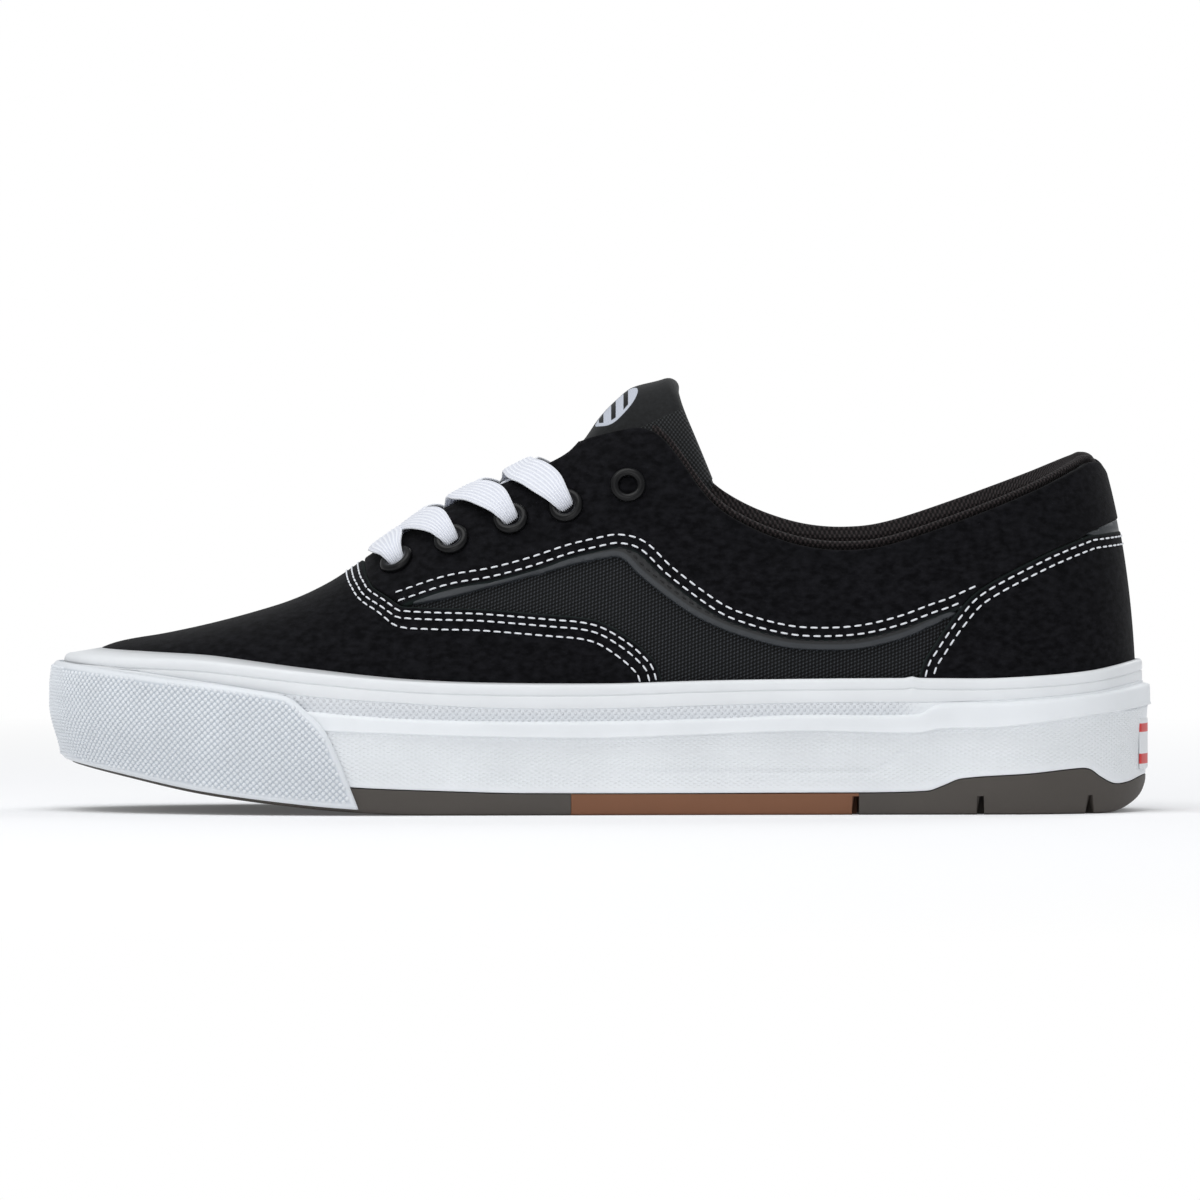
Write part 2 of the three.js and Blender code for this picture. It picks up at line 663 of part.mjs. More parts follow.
// Heights of a lace's middle: clear of an eyelet's rim, and clear of the suede
const LACE_RIM = OVERLAY_OUT + EYELET_LIFT + EYELET_RIM + 3 * GAP + LACE_THICK / 2;
const LACE_REST = OVERLAY_OUT + 3 * GAP + LACE_THICK / 2;

// The stops of a lace from an eyelet's middle, over its rim, to the edge of the slot
const fromEyelet = (place, edge) => [
  over(place, LACE_RIM, LACE_PINCH),
  over(between(place, edge, 0.55), LACE_RIM, (1 + LACE_PINCH) / 2),
  over(edge, LACE_REST + LACE_EDGE),
];
const placeOf = (side, number) => places.find((each) => each.side === side && each.number === number);

// One crossing: each strip comes out from under one eyestay, beside the lower eyelet, and
// goes over the other one to the next eyelet
function laceCrossing(number) {
  const [low, high] = [EYELETS[number - 1].at, EYELETS[number].at];
  const sink = (number - 0.5) * LACE_SINK;
  const slant = 0.3 + 0.1 * number;
  const strip = (side) => {
    const ride = side === OUTER ? LACE_THICK / 2 : 0;
    return laceStrip([
      ...fromEyelet(placeOf(side, number + 1), slotSpot(mix(high, low, slant), side, 1)),
      over(slotSpot(mix(high, low, slant + 0.2), side, 0), LACE_THICK / 2 + ride - sink),
      over(slotSpot(mix(high, low, slant + 0.4), -side, 0.76), -LACE_THICK / 2),
    ]);
  };
  return strip(OUTER).add(strip(INNER));
}

function laceBar() {
  const at = EYELETS[0].at + LACE_BOW / WALL_LENGTH;
  const half = (side) => fromEyelet(placeOf(side, 1), slotSpot(at, side, 1));
  const middle = over(slotSpot(at, OUTER, 0), LACE_REST);
  return laceStrip([...half(OUTER), middle, ...half(INNER).reverse()]);
}

// Sole pieces
const bandFade = (at) => 1 - THREE.MathUtils.smoothstep(at, BAND_END.from, BAND_END.to - 1e-3);
const toeTuck = (at) => TOE_TUCK * THREE.MathUtils.smoothstep(at, 0.8, 1);

function soleBody() {
  const proud = (amount) => (at) => -amount * bandFade(at);
  return loft([
    soleRing((at) => CUP_INSET + toeTuck(at), floorZ),
    soleRing(
      (at) => CUP_INSET + 0.4 * toeTuck(at),
      (at) => mix(floorZ(at), sideZ("bandLow", at), 0.5),
    ),
    soleRing(CUP_INSET_TOP, (at) => sideZ("bandLow", at) - BAND_LIP),
    soleRing(proud(BAND_PROUD), (at) => sideZ("bandLow", at) + BAND_LIP / 2),
    soleRing(proud(BAND_PROUD * 0.8), (at) => sideZ("bandTop", at) - BAND_LIP),
    soleRing(FOXING - CUP_INSET_TOP, (at) => sideZ("bandTop", at)),
    soleRing(FOXING - CUP_INSET_TOP, (at) => sideZ("tapeLow", at)),
  ]);
}

function belowParting(shift) {
  const line = drawn(PARTING, SOLE_HEIGHT, shift);
  return sideBlock([...line, corner(1.03, DEEP), corner(-0.03, DEEP)], -SPAN, SPAN);
}

function midsole(body) {
  return body.subtract(belowParting(GAP / 2)).subtract(form(FOXING_IN, GAP));
}

// A straight channel across the sole
const channel = (x, width, yFrom, yTo, height) =>
  sideBlock(
    [
      new THREE.Vector2(x - width / 2, DEEP),
      new THREE.Vector2(x + width / 2, DEEP),
      new THREE.Vector2(x + width / 2, height),
      new THREE.Vector2(x - width / 2, height),
    ],
    yFrom,
    yTo,
  );

function outsoleBody() {
  return loft([
    soleRing((at) => TREAD_EDGE + toeTuck(at), floorZ),
    soleRing((at) => GAP + toeTuck(at), (at) => floorZ(at) + TREAD_EDGE),
    soleRing((at) => GAP + toeTuck(at), (at) => floorZ(at) + SOLE_HEIGHT / 2),
  ]).intersect(belowParting(-GAP / 2));
}

// Cross grooves of the tread between two shares of the length, stopping short of the edge
function treadGrooves(fromAt, toAt) {
  const grooves = [];
  for (let x = xAt(fromAt); x < xAt(toAt); x += LUG_PITCH) {
    const at = atX(x);
    const half = (column) => BALL_WIDTH * along(SECTIONS, column, at) * endRound(at) - LUG_BORDER;
    const top = floorZ(at) + LUG_DEPTH;
    grooves.push(channel(x, LUG_WIDTH, footLine(at) - half("outer"), footLine(at) + half("inner"), top));
  }
  return wasm.Manifold.union(grooves);
}

function sideSlots() {
  const cuts = SLOTS.flatMap((at) => {
    const half = (column) => BALL_WIDTH * along(SECTIONS, column, at) * endRound(at);
    const outerFace = footLine(at) - half("outer");
    const innerFace = footLine(at) + half("inner");
    return [
      channel(xAt(at), SLOT_WIDTH, outerFace - SLOT_DEPTH, outerFace + SLOT_DEPTH, SLOT_HEIGHT),
      channel(xAt(at), SLOT_WIDTH, innerFace - SLOT_DEPTH, innerFace + SLOT_DEPTH, SLOT_HEIGHT),
    ];
  });
  return wasm.Manifold.union(cuts);
}

// The part of a solid between two shares of the length
function stretch(solid, fromAt, toAt) {
  const block = [corner(fromAt, DEEP), corner(toAt, DEEP), corner(toAt, HIGH), corner(fromAt, HIGH)];
  return solid.intersect(sideBlock(block, -SPAN, SPAN));
}

function foxing() {
  const low = (at) => sideZ("tapeLow", at) + GAP;
  const top = (at) => sideZ("tapeTop", at);
  const ring = loft(
    [
      soleRing(FOXING, low),
      soleRing(FOXING_EDGE, top),
      soleRing(FOXING_REACH, top),
      soleRing(FOXING_REACH, low),
    ],
    { hollow: true },
  );
  return ring.subtract(form(FOXING_IN, BOARD_HEIGHT));
}

function toeBumper() {
  const tuck = (share, outward) => (at) => share * toeTuck(at) - outward;
  const low = (at) => floorZ(at) + BUMPER_CLEAR;
  const middle = (at) => mix(low(at), sideZ("tapeLow", at), 0.55);
  const top = (at) => sideZ("tapeLow", at) + BUMPER_LAP;
  const ring = loft(
    [
      soleRing(tuck(1, GAP + BUMPER * 0.7), low),
      soleRing(tuck(0, GAP + BUMPER), middle),
      soleRing(tuck(0, GAP + BUMPER * 0.5), top),
      soleRing(tuck(0, GAP), top),
      soleRing(tuck(0, GAP), middle),
      soleRing(tuck(1, GAP - CUP_INSET), low),
    ],
    { hollow: true },
  );
  const face = [...drawn(BUMPER_TOP, SOLE_HEIGHT), corner(0.723, DEEP), corner(1.03, DEEP)];
  return ring.intersect(sideBlock(face, -SPAN, SPAN));
}

function heelTab() {
  const plate = loft(
    [
      soleRing(-GAP - TAB, SOLE_HEIGHT * HEEL_TAB.low),
      soleRing(-GAP - TAB, SOLE_HEIGHT * HEEL_TAB.high),
      soleRing(-GAP, SOLE_HEIGHT * HEEL_TAB.high),
      soleRing(-GAP, SOLE_HEIGHT * HEEL_TAB.low),
    ],
    { hollow: true },
  );
  const block = [corner(0.15, DEEP), corner(-0.1, DEEP), corner(-0.1, HIGH), corner(0.15, HIGH)];
  return plate.intersect(sideBlock(block, footLine(0) - TAB_HALF, footLine(0) + TAB_HALF));
}

// Upper pieces
function upper() {
  return form(0)
    .subtract(form(-UPPER_WALL, BOARD_HEIGHT))
    .subtract(aboveCollar(0))
    .subtract(throatSlot())
    .subtract(wasm.Manifold.union(places.map(eyeletHole)));
}

// The layer of overlays, which each overlay's outline is cut from
const suedeLayer = () => form(OVERLAY_OUT).subtract(form(OVERLAY_IN, BOARD_HEIGHT));

// Everything behind and under a line that ends at the back of the heel
function heelRegion(rows, shift) {
  const line = drawn(rows, BACK_HEIGHT, shift);
  const points = [...line, corner(-0.1, line.at(-1).y), corner(-0.1, 0), corner(rows[0].at, 0)];
  return sideBlock(points, -SPAN, SPAN);
}

// Everything in front of the vamp's edge, moved back by shift
function vampRegion(shift) {
  const line = drawn(VAMP_EDGE, BACK_HEIGHT).map((p) => p.setX(p.x + shift));
  const ends = [new THREE.Vector2(line.at(-1).x, 0), corner(1.1, 0), corner(1.1, HIGH)];
  return sideBlock([...line, ...ends, new THREE.Vector2(line[0].x, HIGH)], -SPAN, SPAN);
}

function vamp(layer) {
  return layer.intersect(vampRegion(0)).subtract(throatSlot());
}

function quarters(layer) {
  const line = drawn(QUARTER_EDGE, BACK_HEIGHT);
  const ends = [corner(-0.1, line.at(-1).y), corner(-0.1, HIGH), corner(QUARTER_EDGE[0].at, HIGH)];
  return layer
    .intersect(sideBlock([...line, ...ends], -SPAN, SPAN))
    .subtract(vampRegion(GAP))
    .subtract(heelRegion(COUNTER_EDGE, GAP))
    .subtract(heelRegion(HEEL_TRIM, GAP))
    .subtract(aboveCollar(0))
    .subtract(throatSlot())
    .subtract(wasm.Manifold.union(places.map(eyeletHole)));
}

function heelCounter(layer) {
  return layer.intersect(heelRegion(COUNTER_EDGE, 0));
}

const trimLayer = () => form(GAP + TRIM).subtract(form(GAP, BOARD_HEIGHT));

function heelTrim() {
  return trimLayer()
    .intersect(heelRegion(HEEL_TRIM, 0))
    .subtract(heelRegion(COUNTER_EDGE, GAP));
}

function sideTrim(side) {
  const upperEdge = drawn(QUARTER_EDGE.slice(2), BACK_HEIGHT, -GAP);
  const lowerEdge = drawn(TRIM_EDGE, BACK_HEIGHT).reverse();
  const [from, to] = side === OUTER ? [-SPAN, 0] : [0, SPAN];
  return trimLayer()
    .intersect(sideBlock([...upperEdge, ...lowerEdge], from, to))
    .subtract(vampRegion(GAP))
    .subtract(heelRegion(COUNTER_EDGE, GAP));
}

function collarLining() {
  const low = drawn(LINING_EDGE, BACK_HEIGHT);
  const region = [...low, corner(-0.1, low.at(-1).y), corner(-0.1, HIGH), corner(0.4, HIGH)];
  const face = UPPER_WALL + GAP;
  return form(-face)
    .subtract(form(-face - LINING, BOARD_HEIGHT))
    .intersect(sideBlock(region, -SPAN, SPAN))
    .subtract(aboveCollar(LINING_PROUD));
}

function tongue() {
  const points = drawn([...TONGUE_BACK, ...TONGUE_EDGE], BACK_HEIGHT);
  const region = [...points, corner(0.74, HIGH), corner(TONGUE_BACK[0].at, HIGH)];
  const face = UPPER_WALL + TONGUE_DROP;
  return form(-face)
    .subtract(form(-face - TONGUE, BOARD_HEIGHT))
    .intersect(sideBlock(region, -SPAN, SPAN));
}

function insole() {
  const slab = loft([
    soleRing(FEATHER, (at) => boardZ(at) - SOLE_HEIGHT / 2),
    soleRing(FEATHER, (at) => boardZ(at) + GAP + INSOLE),
  ]);
  return form(-UPPER_WALL - GAP).intersect(slab);
}

// The finish of each kind of piece
const finish = (color, roughness) => new THREE.MeshStandardMaterial({ color, roughness, metalness: 0 });
const FINISHES = {
  rubberWhite: finish(0xe4e8ec, 0.55),
  rubberDark: finish(0x47423e, 0.7),
  rubberGum: finish(0x8a5a40, 0.6),
  suede: finish(0x0b0b0d, 0.95),
  textile: finish(0x17181b, 0.85),
  trim: finish(0x24262a, 0.5),
  lining: finish(0x1c191a, 0.9),
  metal: finish(0x202124, 0.35),
  lace: finish(0xe8eaf2, 0.9),
  foam: finish(0x2a2a2c, 0.95),
};

const shoe = new THREE.Group();
function add(name, solid, material) {
  const mesh = new THREE.Mesh(toGeometry(solid), material);
  mesh.name = name;
  shoe.add(mesh);
}

const body = soleBody();
const outsole = outsoleBody();
const layer = suedeLayer();
const joint = ARCH_JOINT / 2 / WALL_LENGTH;

add("midsole", midsole(body), FINISHES.rubberWhite);
add(
  "outsole_forefoot",
  stretch(outsole, ARCH.front + joint, 1.1).subtract(treadGrooves(0.93, ARCH.front + 0.02)),
  FINISHES.rubberDark,
);
add("outsole_arch", stretch(outsole, ARCH.back + joint, ARCH.front - joint), FINISHES.rubberGum);
add(
  "outsole_heel",
  stretch(outsole, -0.1, ARCH.back - joint)
    .subtract(sideSlots())
    .subtract(treadGrooves(ARCH.back - 0.03, 0.05)),
  FINISHES.rubberDark,
);
add("foxing", foxing(), FINISHES.rubberWhite);
add("toe_bumper", toeBumper(), FINISHES.rubberWhite);
add("heel_tab", heelTab(), FINISHES.rubberWhite);
add("insole", insole(), FINISHES.foam);
add("upper", upper(), FINISHES.textile);
add("vamp", vamp(layer), FINISHES.suede);
add("quarters", quarters(layer), FINISHES.suede);
add("heel_counter", heelCounter(layer), FINISHES.suede);
add("side_trim_outer", sideTrim(OUTER), FINISHES.trim);
add("side_trim_inner", sideTrim(INNER), FINISHES.trim);
add("heel_trim", heelTrim(), FINISHES.trim);
add("collar_lining", collarLining(), FINISHES.lining);
add("tongue", tongue(), FINISHES.lining);
for (const place of places) {
  const side = place.side === OUTER ? "outer" : "inner";
  add(`eyelet_${side}_${place.number}`, eyelet(place), FINISHES.metal);
}
add("lace_bar", laceBar(), FINISHES.lace);
for (const number of [1, 2, 3]) {
  add(`lace_crossing_${number}`, laceCrossing(number), FINISHES.lace);
}

export default shoe;
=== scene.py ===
"""A low skateboarding shoe for the left foot, dressed over its solids.

Every soft piece is a surface worked out from the same foot form as the solids: a point of the
form is found from a turn round the sole and a rise from the sole's edge to the ridge of the
instep. A panel is the part of the form inside an outline drawn in the side view, grown outwards
by its thickness, with its edge rounded. Lengths are millimetres until a mesh is made.
"""
import math

import bpy
import numpy as np
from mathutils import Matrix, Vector


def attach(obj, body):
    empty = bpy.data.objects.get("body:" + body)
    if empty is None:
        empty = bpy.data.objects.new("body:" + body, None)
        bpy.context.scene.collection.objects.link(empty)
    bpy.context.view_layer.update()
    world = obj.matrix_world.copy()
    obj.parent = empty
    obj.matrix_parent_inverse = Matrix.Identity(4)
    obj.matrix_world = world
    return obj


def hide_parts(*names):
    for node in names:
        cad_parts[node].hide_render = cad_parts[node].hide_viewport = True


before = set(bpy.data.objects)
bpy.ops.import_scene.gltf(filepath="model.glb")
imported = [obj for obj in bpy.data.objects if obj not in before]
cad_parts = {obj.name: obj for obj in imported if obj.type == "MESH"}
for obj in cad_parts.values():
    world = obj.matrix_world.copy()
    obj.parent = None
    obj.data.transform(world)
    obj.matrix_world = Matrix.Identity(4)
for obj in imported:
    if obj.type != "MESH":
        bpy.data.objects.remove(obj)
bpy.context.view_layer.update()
MM = 0.001

# The photograph's camera: its distance, height above the horizon, and picture scale, with the
# place in the picture of a point on the floor beside the sole
CAMERA_DISTANCE = 6000
CAMERA_ELEVATION = math.radians(1.2)
PIXEL = 0.2652
PICTURE = 1200
AIM = np.array([0.0, -45.0, 0.0])
AIM_COLUMN, AIM_ROW = 599.5, 815.0

# Driving sizes: those of the solids, except for the tongue's drop, the lace's width and the
# eyelet's bore, which follow the photograph
SHOE_LENGTH = 292
BALL_WIDTH = 104
SOLE_HEIGHT = 36
BACK_HEIGHT = 96
BOARD_HEIGHT = 24
UPPER_WALL = 1.6
UPPER_EDGE = 0.8
SUEDE = 1.2
TRIM = 0.9
GAP = 0.3
FOXING = 1.2
FEATHER = 4.2
BAND_PROUD = 1
BUMPER = 2.5
TOE_TUCK = 2.4
TAB = 0.4
INSOLE = 4.5
LINING = 4.5
TONGUE = 5.5
TONGUE_DROP = 1.6
LACE_WIDTH = 8.6
LACE_THICK = 1.4
LACE_BOW = 1
LACE_EDGE = 0.6
LACE_SINK = 0.7
LACE_RIB = 1.05
EYELET_RADIUS = 4.7
EYELET_BORE = 2.35
EYELET_RIM = 0.7
EYELET_LIFT = 1.1
EYELET_SIDES = 40
LINING_PROUD = 2.6
OVERLAY_OUT = GAP + SUEDE
HEEL_X = SHOE_LENGTH / 2 - BAND_PROUD
TOE_X = -SHOE_LENGTH / 2 + BUMPER + GAP
WALL_LENGTH = HEEL_X - TOE_X
OUTER, INNER = -1, 1

# The foot form's sections by share of the length: half widths as shares of the ball's width, the
# ridge's height as a share of the back height, the corner's roundness and the side's lean
SECTIONS = {
    "at": (0, .1, .2, .3, .37, .41, .448, .479, .497, .512, .53, .56, .6, .65, .7, .75, .8, .9, 1),
    "outer": (.375, .38, .39, .405, .418, .427, .436, .445, .449, .454, .46, .468, .48, .493, .505,
              .51, .51, .5, .49),
    "inner": (.36, .365, .362, .355, .355, .355, .365, .375, .38, .386, .394, .408, .43, .46, .485,
              .505, .52, .53, .53),
    "crown": (1.33, 1.33, 1.33, 1.32, 1.29, 1.265, 1.222, 1.195, 1.152, 1.104, 1.03, .965, .904,
              .825, .717, .614, .549, .474, .438),
    "round": (2, 2.25, 2.45, 2.5, 2.6, 2.7, 2.95, 3.3, 3.5, 3.7, 3.8, 3.8, 3.7, 3.5, 3, 2.9, 2.9,
              3.4, 3.8),
    "lean": (0, 0, 0, .04, .12, .18, .22, .25, .28, .29, .3, .3, .3, .28, .24, .16, .08, 0, 0),
}
HEEL_ROUND = (0.15, 2.1)
TOE_ROUND = (0.3, 2.15)
TOE_SWING = 0.05
HEEL_SWING = 0.026
RIDGE_SWING = 0.012
RIDGE_HEEL, RIDGE_TOE = 0.136, 0.88
# Lines along the sole's side, the underside, the outsole's parting and the footbed, all as shares
# of the sole's height, but for the footbed's, a share of the board height
SIDE = {
    "at": (0, .05, .135, .193, .212, .32, .41, .5, .6, .69, .78, .87, .94, 1),
    "band_low": (.785, .728, .642, .628, .6, .614, .59, .567, .575, .6, .633, .71, .78, .83),
    "band_top": (.94, .872, .82, .806, .735, .728, .7, .686, .686, .708, .767, .86, .93, .97),
    "tape_low": (.96, .887, .833, .82, .818, .814, .794, .775, .78, .82, .875, .975, 1.05, 1.095),
    "tape_top": (1.118, 1.046, 1, .998, 1, .994, .98, .958, .967, 1.003, 1.068, 1.142, 1.178, 1.2),
}
FLOOR = {"at": (.045, .66, .72, .78, .87, .943, 1), "up": (0, 0, .018, .058, .15, .264, .355)}
HEEL_ROLL_REACH, HEEL_ROLL_UP = 0.042, 0.23
PARTING = {
    "at": (-.03, .002, .018, .031, .044, .053, .062, .109, .173, .189, .204, .31, .57, .64, .727,
           .787, .853, .94, 1.03),
    "up": (.29, .27, .225, .217, .27, .322, .333, .297, .261, .211, .172, .16, .16, .175, .203, .24,
           .29, .39, .53),
}
BOARD = {"at": (0, .12, .3, .5, .65, .78, .9, 1), "up": (1, 1, .92, .77, .69, .69, .8, .95)}

# Outlines in the side view: share of the length from heel to toe, share of the back height
TOPLINE = ((.56, .985), (.53, 1.006), (.507, 1.03), (.485, 1.048), (.466, 1.056), (.448, 1.035),
           (.43, .975), (.41, .89), (.39, .83), (.355, .773), (.315, .735), (.275, .725),
           (.235, .742), (.17, .808), (.11, .88), (.066, .945), (.057, .96), (.047, .958),
           (.037, .92), (-.02, .7))
INNER_RISE = 0.038
QUARTER_EDGE = ((.76, .488), (.72, .526), (.68, .567), (.64, .609), (.6, .632), (.565, .66),
                (.528, .697), (.497, .72), (.483, .725), (.467, .708), (.443, .641), (.4, .547),
                (.37, .508), (.333, .48), (.3, .473), (.263, .48), (.227, .505), (.196, .539),
                (.1795, .556), (.16, .582), (.12, .638))
COUNTER_EDGE = ((.215, .3), (.2085, .405), (.198, .462), (.1785, .546), (.155, .618), (.103, .703),
                (.062, .755), (.047, .765), (-.02, .785))
HEEL_TRIM = ((.063, .757), (.05, .776), (.0256, .803), (-.02, .825))
VAMP_EDGE = ((.7185, .8), (.718, .7), (.7156, .652), (.7124, .631), (.7083, .613), (.6963, .591),
             (.6871, .573), (.6807, .566), (.65, .5635), (.61, .561), (.548, .547), (.517, .539),
             (.496, .521), (.476, .485), (.459, .441), (.449, .398), (.442, .3))
TRIM_EDGE = ((.672, .572), (.64, .592), (.609, .617), (.568, .648), (.527, .683), (.496, .702),
             (.488, .704), (.48, .695), (.464, .647), (.426, .561), (.398, .516), (.37, .485),
             (.333, .457), (.295, .45), (.263, .455), (.227, .481), (.2, .515), (.182, .541),
             (.165, .57))
BUMPER_TOP = ((1.03, 1.13), (.99, 1.09), (.918, 1.012), (.853, .952), (.797, .886), (.783, .845),
              (.768, .742), (.755, .637), (.744, .465), (.734, .272), (.723, .05))
TONGUE_BACK = ((.4405, 1.32), (.438, 1.23), (.4345, 1.19), (.428, 1.135), (.4155, 1.04), (.4, .92))
TONGUE_EDGE = ((.43, .8), (.55, .66), (.74, .58))
LINING_EDGE = ((.455, .8), (.4, .66), (.28, .5), (.13, .56), (-.02, .6))
THROAT = {
    "at": (.44, .505, .531, .585, .64, .688, .702, .71, .714),
    "half": (.56, .514, .477, .408, .328, .245, .2, .13, 0),
}
EYELETS = ((.686, .682), (.637, .741), (.583, .8), (.532, .838), (.477, .897))
ARCH_FRONT, ARCH_BACK = 0.529, 0.266
SLOTS = (0.155, 0.055)
ARCH_SLOT = 0.2692
FOXING_LAP = 0.2175
SLOT_WIDTH, SLOT_HEIGHT = 1.9, 4.9
LUG_DEPTH, LUG_WIDTH, LUG_PITCH = 1.6, 2.4, 12
LUG_FRONT, LUG_BACK, CUT_STEP = 0.93, 0.05, 0.1
# The outsole's section inwards from its wall: the bevel's insets and heights, the insets of the
# flat part, and the inset from which grooves are cut
TREAD_BEVEL = ((0.55, 0.45), (1.2, 0))
TREAD_FLAT, TREAD_GROOVED = (3, 6, 8.9), 9.1
TAB_HALF, TAB_LOW, TAB_HIGH = 13, 0.31, 0.69
TAB_EDGE, TAB_SINK = 0.9, 0.4
TAB_BARS = ((12.6, 15.4), (21.0, 23.4))
BUMPER_FACE, BUMPER_EDGE = 0.82, 1.6
BUMPER_LOW, BUMPER_HIGH = 0.9, 1
CUP_INSET, CREASE_Z, CREASE_RISE, CREASE_DEPTH, CREASE_WIDE = 0.3, 11.4, 5.6, 0.4, 0.6
# Rows over a lip of the sole: height from its line, and share of the way to the next face
BAND_LIP = ((-0.2, 0.1), (-0.08, 0.8), (0.06, 1.08), (0.25, 1.16), (0.45, 1.06), (0.7, 1.0))
BAND_BACK = ((-0.4, 0.06), (-0.18, 0.35), (0.0, 0.8), (0.08, 1.0))
# Rows of the foxing: height from its top edge, and how far in its face lies
TAPE_GROOVE = ((-3.35, 0.0), (-3.2, 0.06), (-3.05, 0.34), (-2.9, 0.34), (-2.75, 0.06), (-2.6, 0.0))
TAPE_LIP = ((-1.2, 0.0), (-0.7, 0.1), (-0.3, 0.3), (-0.08, 0.62), (0.0, 1.1))
# A stud's rings: radius and height over the bumper's face
STUD_PITCH, STUD_SIDES, STUD_CLEAR = 1.75, 6, 1.4
STUD_RINGS = ((0.7, -0.12), (0.56, 0.2), (0.3, 0.44))
STUD_TOP, STUD_FOOT = 0.5, -0.12
# A stitch's rings: share of its length, share of its radius, and height
STITCH_SIDES = 6
STITCH_RINGS = ((-0.5, 0.25, -0.2), (-0.36, 0.9, 0.05), (0, 1.0, 0.12), (0.36, 0.9, 0.05),
                (0.5, 0.25, -0.2))
# Heights of the lace that lies on top where two cross, and of the one under it
LACE_OVER, LACE_UNDER = 0.95, -0.35
LACE_STATIONS, LACE_SAMPLES, LACE_EASING = 90, 42, 14
# Where the tongue's knit gives way to smooth cloth in the side view, and the badge printed on it
KNIT_X, KNIT_Z, KNIT_SLOPE, KNIT_BLUR = 9.5, 101.0, 0.45, 0.15
BADGE_X, BADGE_Y, BADGE_LONG, BADGE_WIDE = 4.5, -11.0, 5.7, 8.2


# The foot form and the sole's outline

def cubic(x, y, at):
    """A cubic through points, sloped at each as its neighbours are, and held beyond its ends."""
    row = np.arange(len(x))
    before, after = np.maximum(row - 1, 0), np.minimum(row + 1, len(x) - 1)
    slope = (y[after] - y[before]) / (x[after] - x[before])
    i = np.searchsorted(x[1:-1], at)
    span = x[i + 1] - x[i]
    t = np.clip((at - x[i]) / span, 0, 1)
    bend = (1 - t) ** 2 * t * slope[i] - t**2 * (1 - t) * slope[i + 1]
    return y[i] * (1 + 2 * t) * (1 - t) ** 2 + y[i + 1] * t**2 * (3 - 2 * t) + bend * span


def along(rows, column, at):
    """Value of a table's column."""
    return cubic(np.array(rows["at"], float), np.array(rows[column], float), at)


def unit(v):
    """The same directions with a length of 1."""
    return v / np.maximum(np.linalg.norm(v, axis=-1, keepdims=True), 1e-9)


def halve(before, count):
    """Where a test of values from 0 to 1 stops being true, by halving the range."""
    low, high = np.zeros(count), np.ones(count)
    for _ in range(22):
        middle = (low + high) / 2
        still = before(middle)
        low, high = np.where(still, middle, low), np.where(still, high, middle)
    return (low + high) / 2


def smooth(value, low, high):
    """0 below low, 1 above high, and a smooth S between them."""
    t = np.clip((value - low) / (high - low), 0, 1)
    return t * t * (3 - 2 * t)


def mix(a, b, share):
    return a + (b - a) * share


def x_at(at):
    return HEEL_X - at * WALL_LENGTH


def at_x(x):
    return (HEEL_X - x) / WALL_LENGTH


def share_of(turn):
    return (1 - np.cos(turn)) / 2


def turn_at(at):
    return np.arccos(1 - 2 * np.clip(at, 0, 1))


def foot_line(at):
    return BALL_WIDTH * (TOE_SWING * at**2 - HEEL_SWING)


def ridge_line(at):
    return foot_line(at) + BALL_WIDTH * RIDGE_SWING * np.sin(np.pi * at)


def half_width(at, side):
    return BALL_WIDTH * np.where(side < 0, along(SECTIONS, "outer", at), along(SECTIONS, "inner", at))


def board_z(at):
    return BOARD_HEIGHT * along(BOARD, "up", np.clip(at, 0, 1))


def crown_z(at):
    return BACK_HEIGHT * along(SECTIONS, "crown", np.clip(at, 0, 1))


def side_z(column, at):
    return SOLE_HEIGHT * along(SIDE, column, at)


def floor_z(at):
    """The outsole's underside: flat, with a toe spring and a rolled heel."""
    roll = np.clip(1 - at / HEEL_ROLL_REACH, 0, 1)
    rolled = HEEL_ROLL_UP * (1 - np.sqrt(1 - roll**2))
    return SOLE_HEIGHT * np.where(at < HEEL_ROLL_REACH, rolled, np.maximum(along(FLOOR, "up", at), 0))


def end_round(at):
    """How much of its half width the outline keeps near its ends: a superellipse at each."""
    def close(part, reach, power):
        return (1 - (1 - np.clip(part / reach, 0, 1)) ** power) ** (1 / power)
    return close(at, *HEEL_ROUND) * close(1 - at, *TOE_ROUND)


def outline(turn):
    """The sole's wall from above. turn runs from the heel, along the outer side, to the toe, pi."""
    at = share_of(turn)
    side = np.where(np.sin(turn) >= 0, OUTER, INNER)
    return np.stack([x_at(at), foot_line(at) + side * half_width(at, side) * end_round(at)], -1)


def wall(turn, inset):
    """The outline moved inwards, at right angles to itself."""
    run = unit(outline(turn + 0.02) - outline(turn - 0.02))
    inwards = np.stack([run[..., 1], -run[..., 0]], -1)
    return outline(turn) + inwards * np.asarray(inset, float)[..., None]


def form_point(turn, rise):
    """A superellipse from the sole's edge, rise 0, to the ridge, rise 1, in even steps.

    Its corner is as square as the section's roundness says, and its side leans in a straight
    line by the share that the section's lean says.
    """
    at = share_of(turn)
    power = along(SECTIONS, "round", at) / 2
    rise = np.clip(rise, 0, 1)
    angle = rise**power / (rise**power + (1 - rise) ** power) * np.pi / 2
    upward = np.sin(angle) ** (1 / power)
    inward = mix(1 - np.clip(np.cos(angle), 0, 1) ** (1 / power), upward, along(SECTIONS, "lean", at))
    foot = wall(turn, FEATHER)
    top = RIDGE_HEEL + (RIDGE_TOE - RIDGE_HEEL) * at
    x = foot[..., 0] + (x_at(top) - foot[..., 0]) * inward
    y = foot[..., 1] + (ridge_line(top) - foot[..., 1]) * inward
    base = board_z(at)
    return np.stack([x, y, base + (crown_z(at_x(x)) - base) * upward], -1)


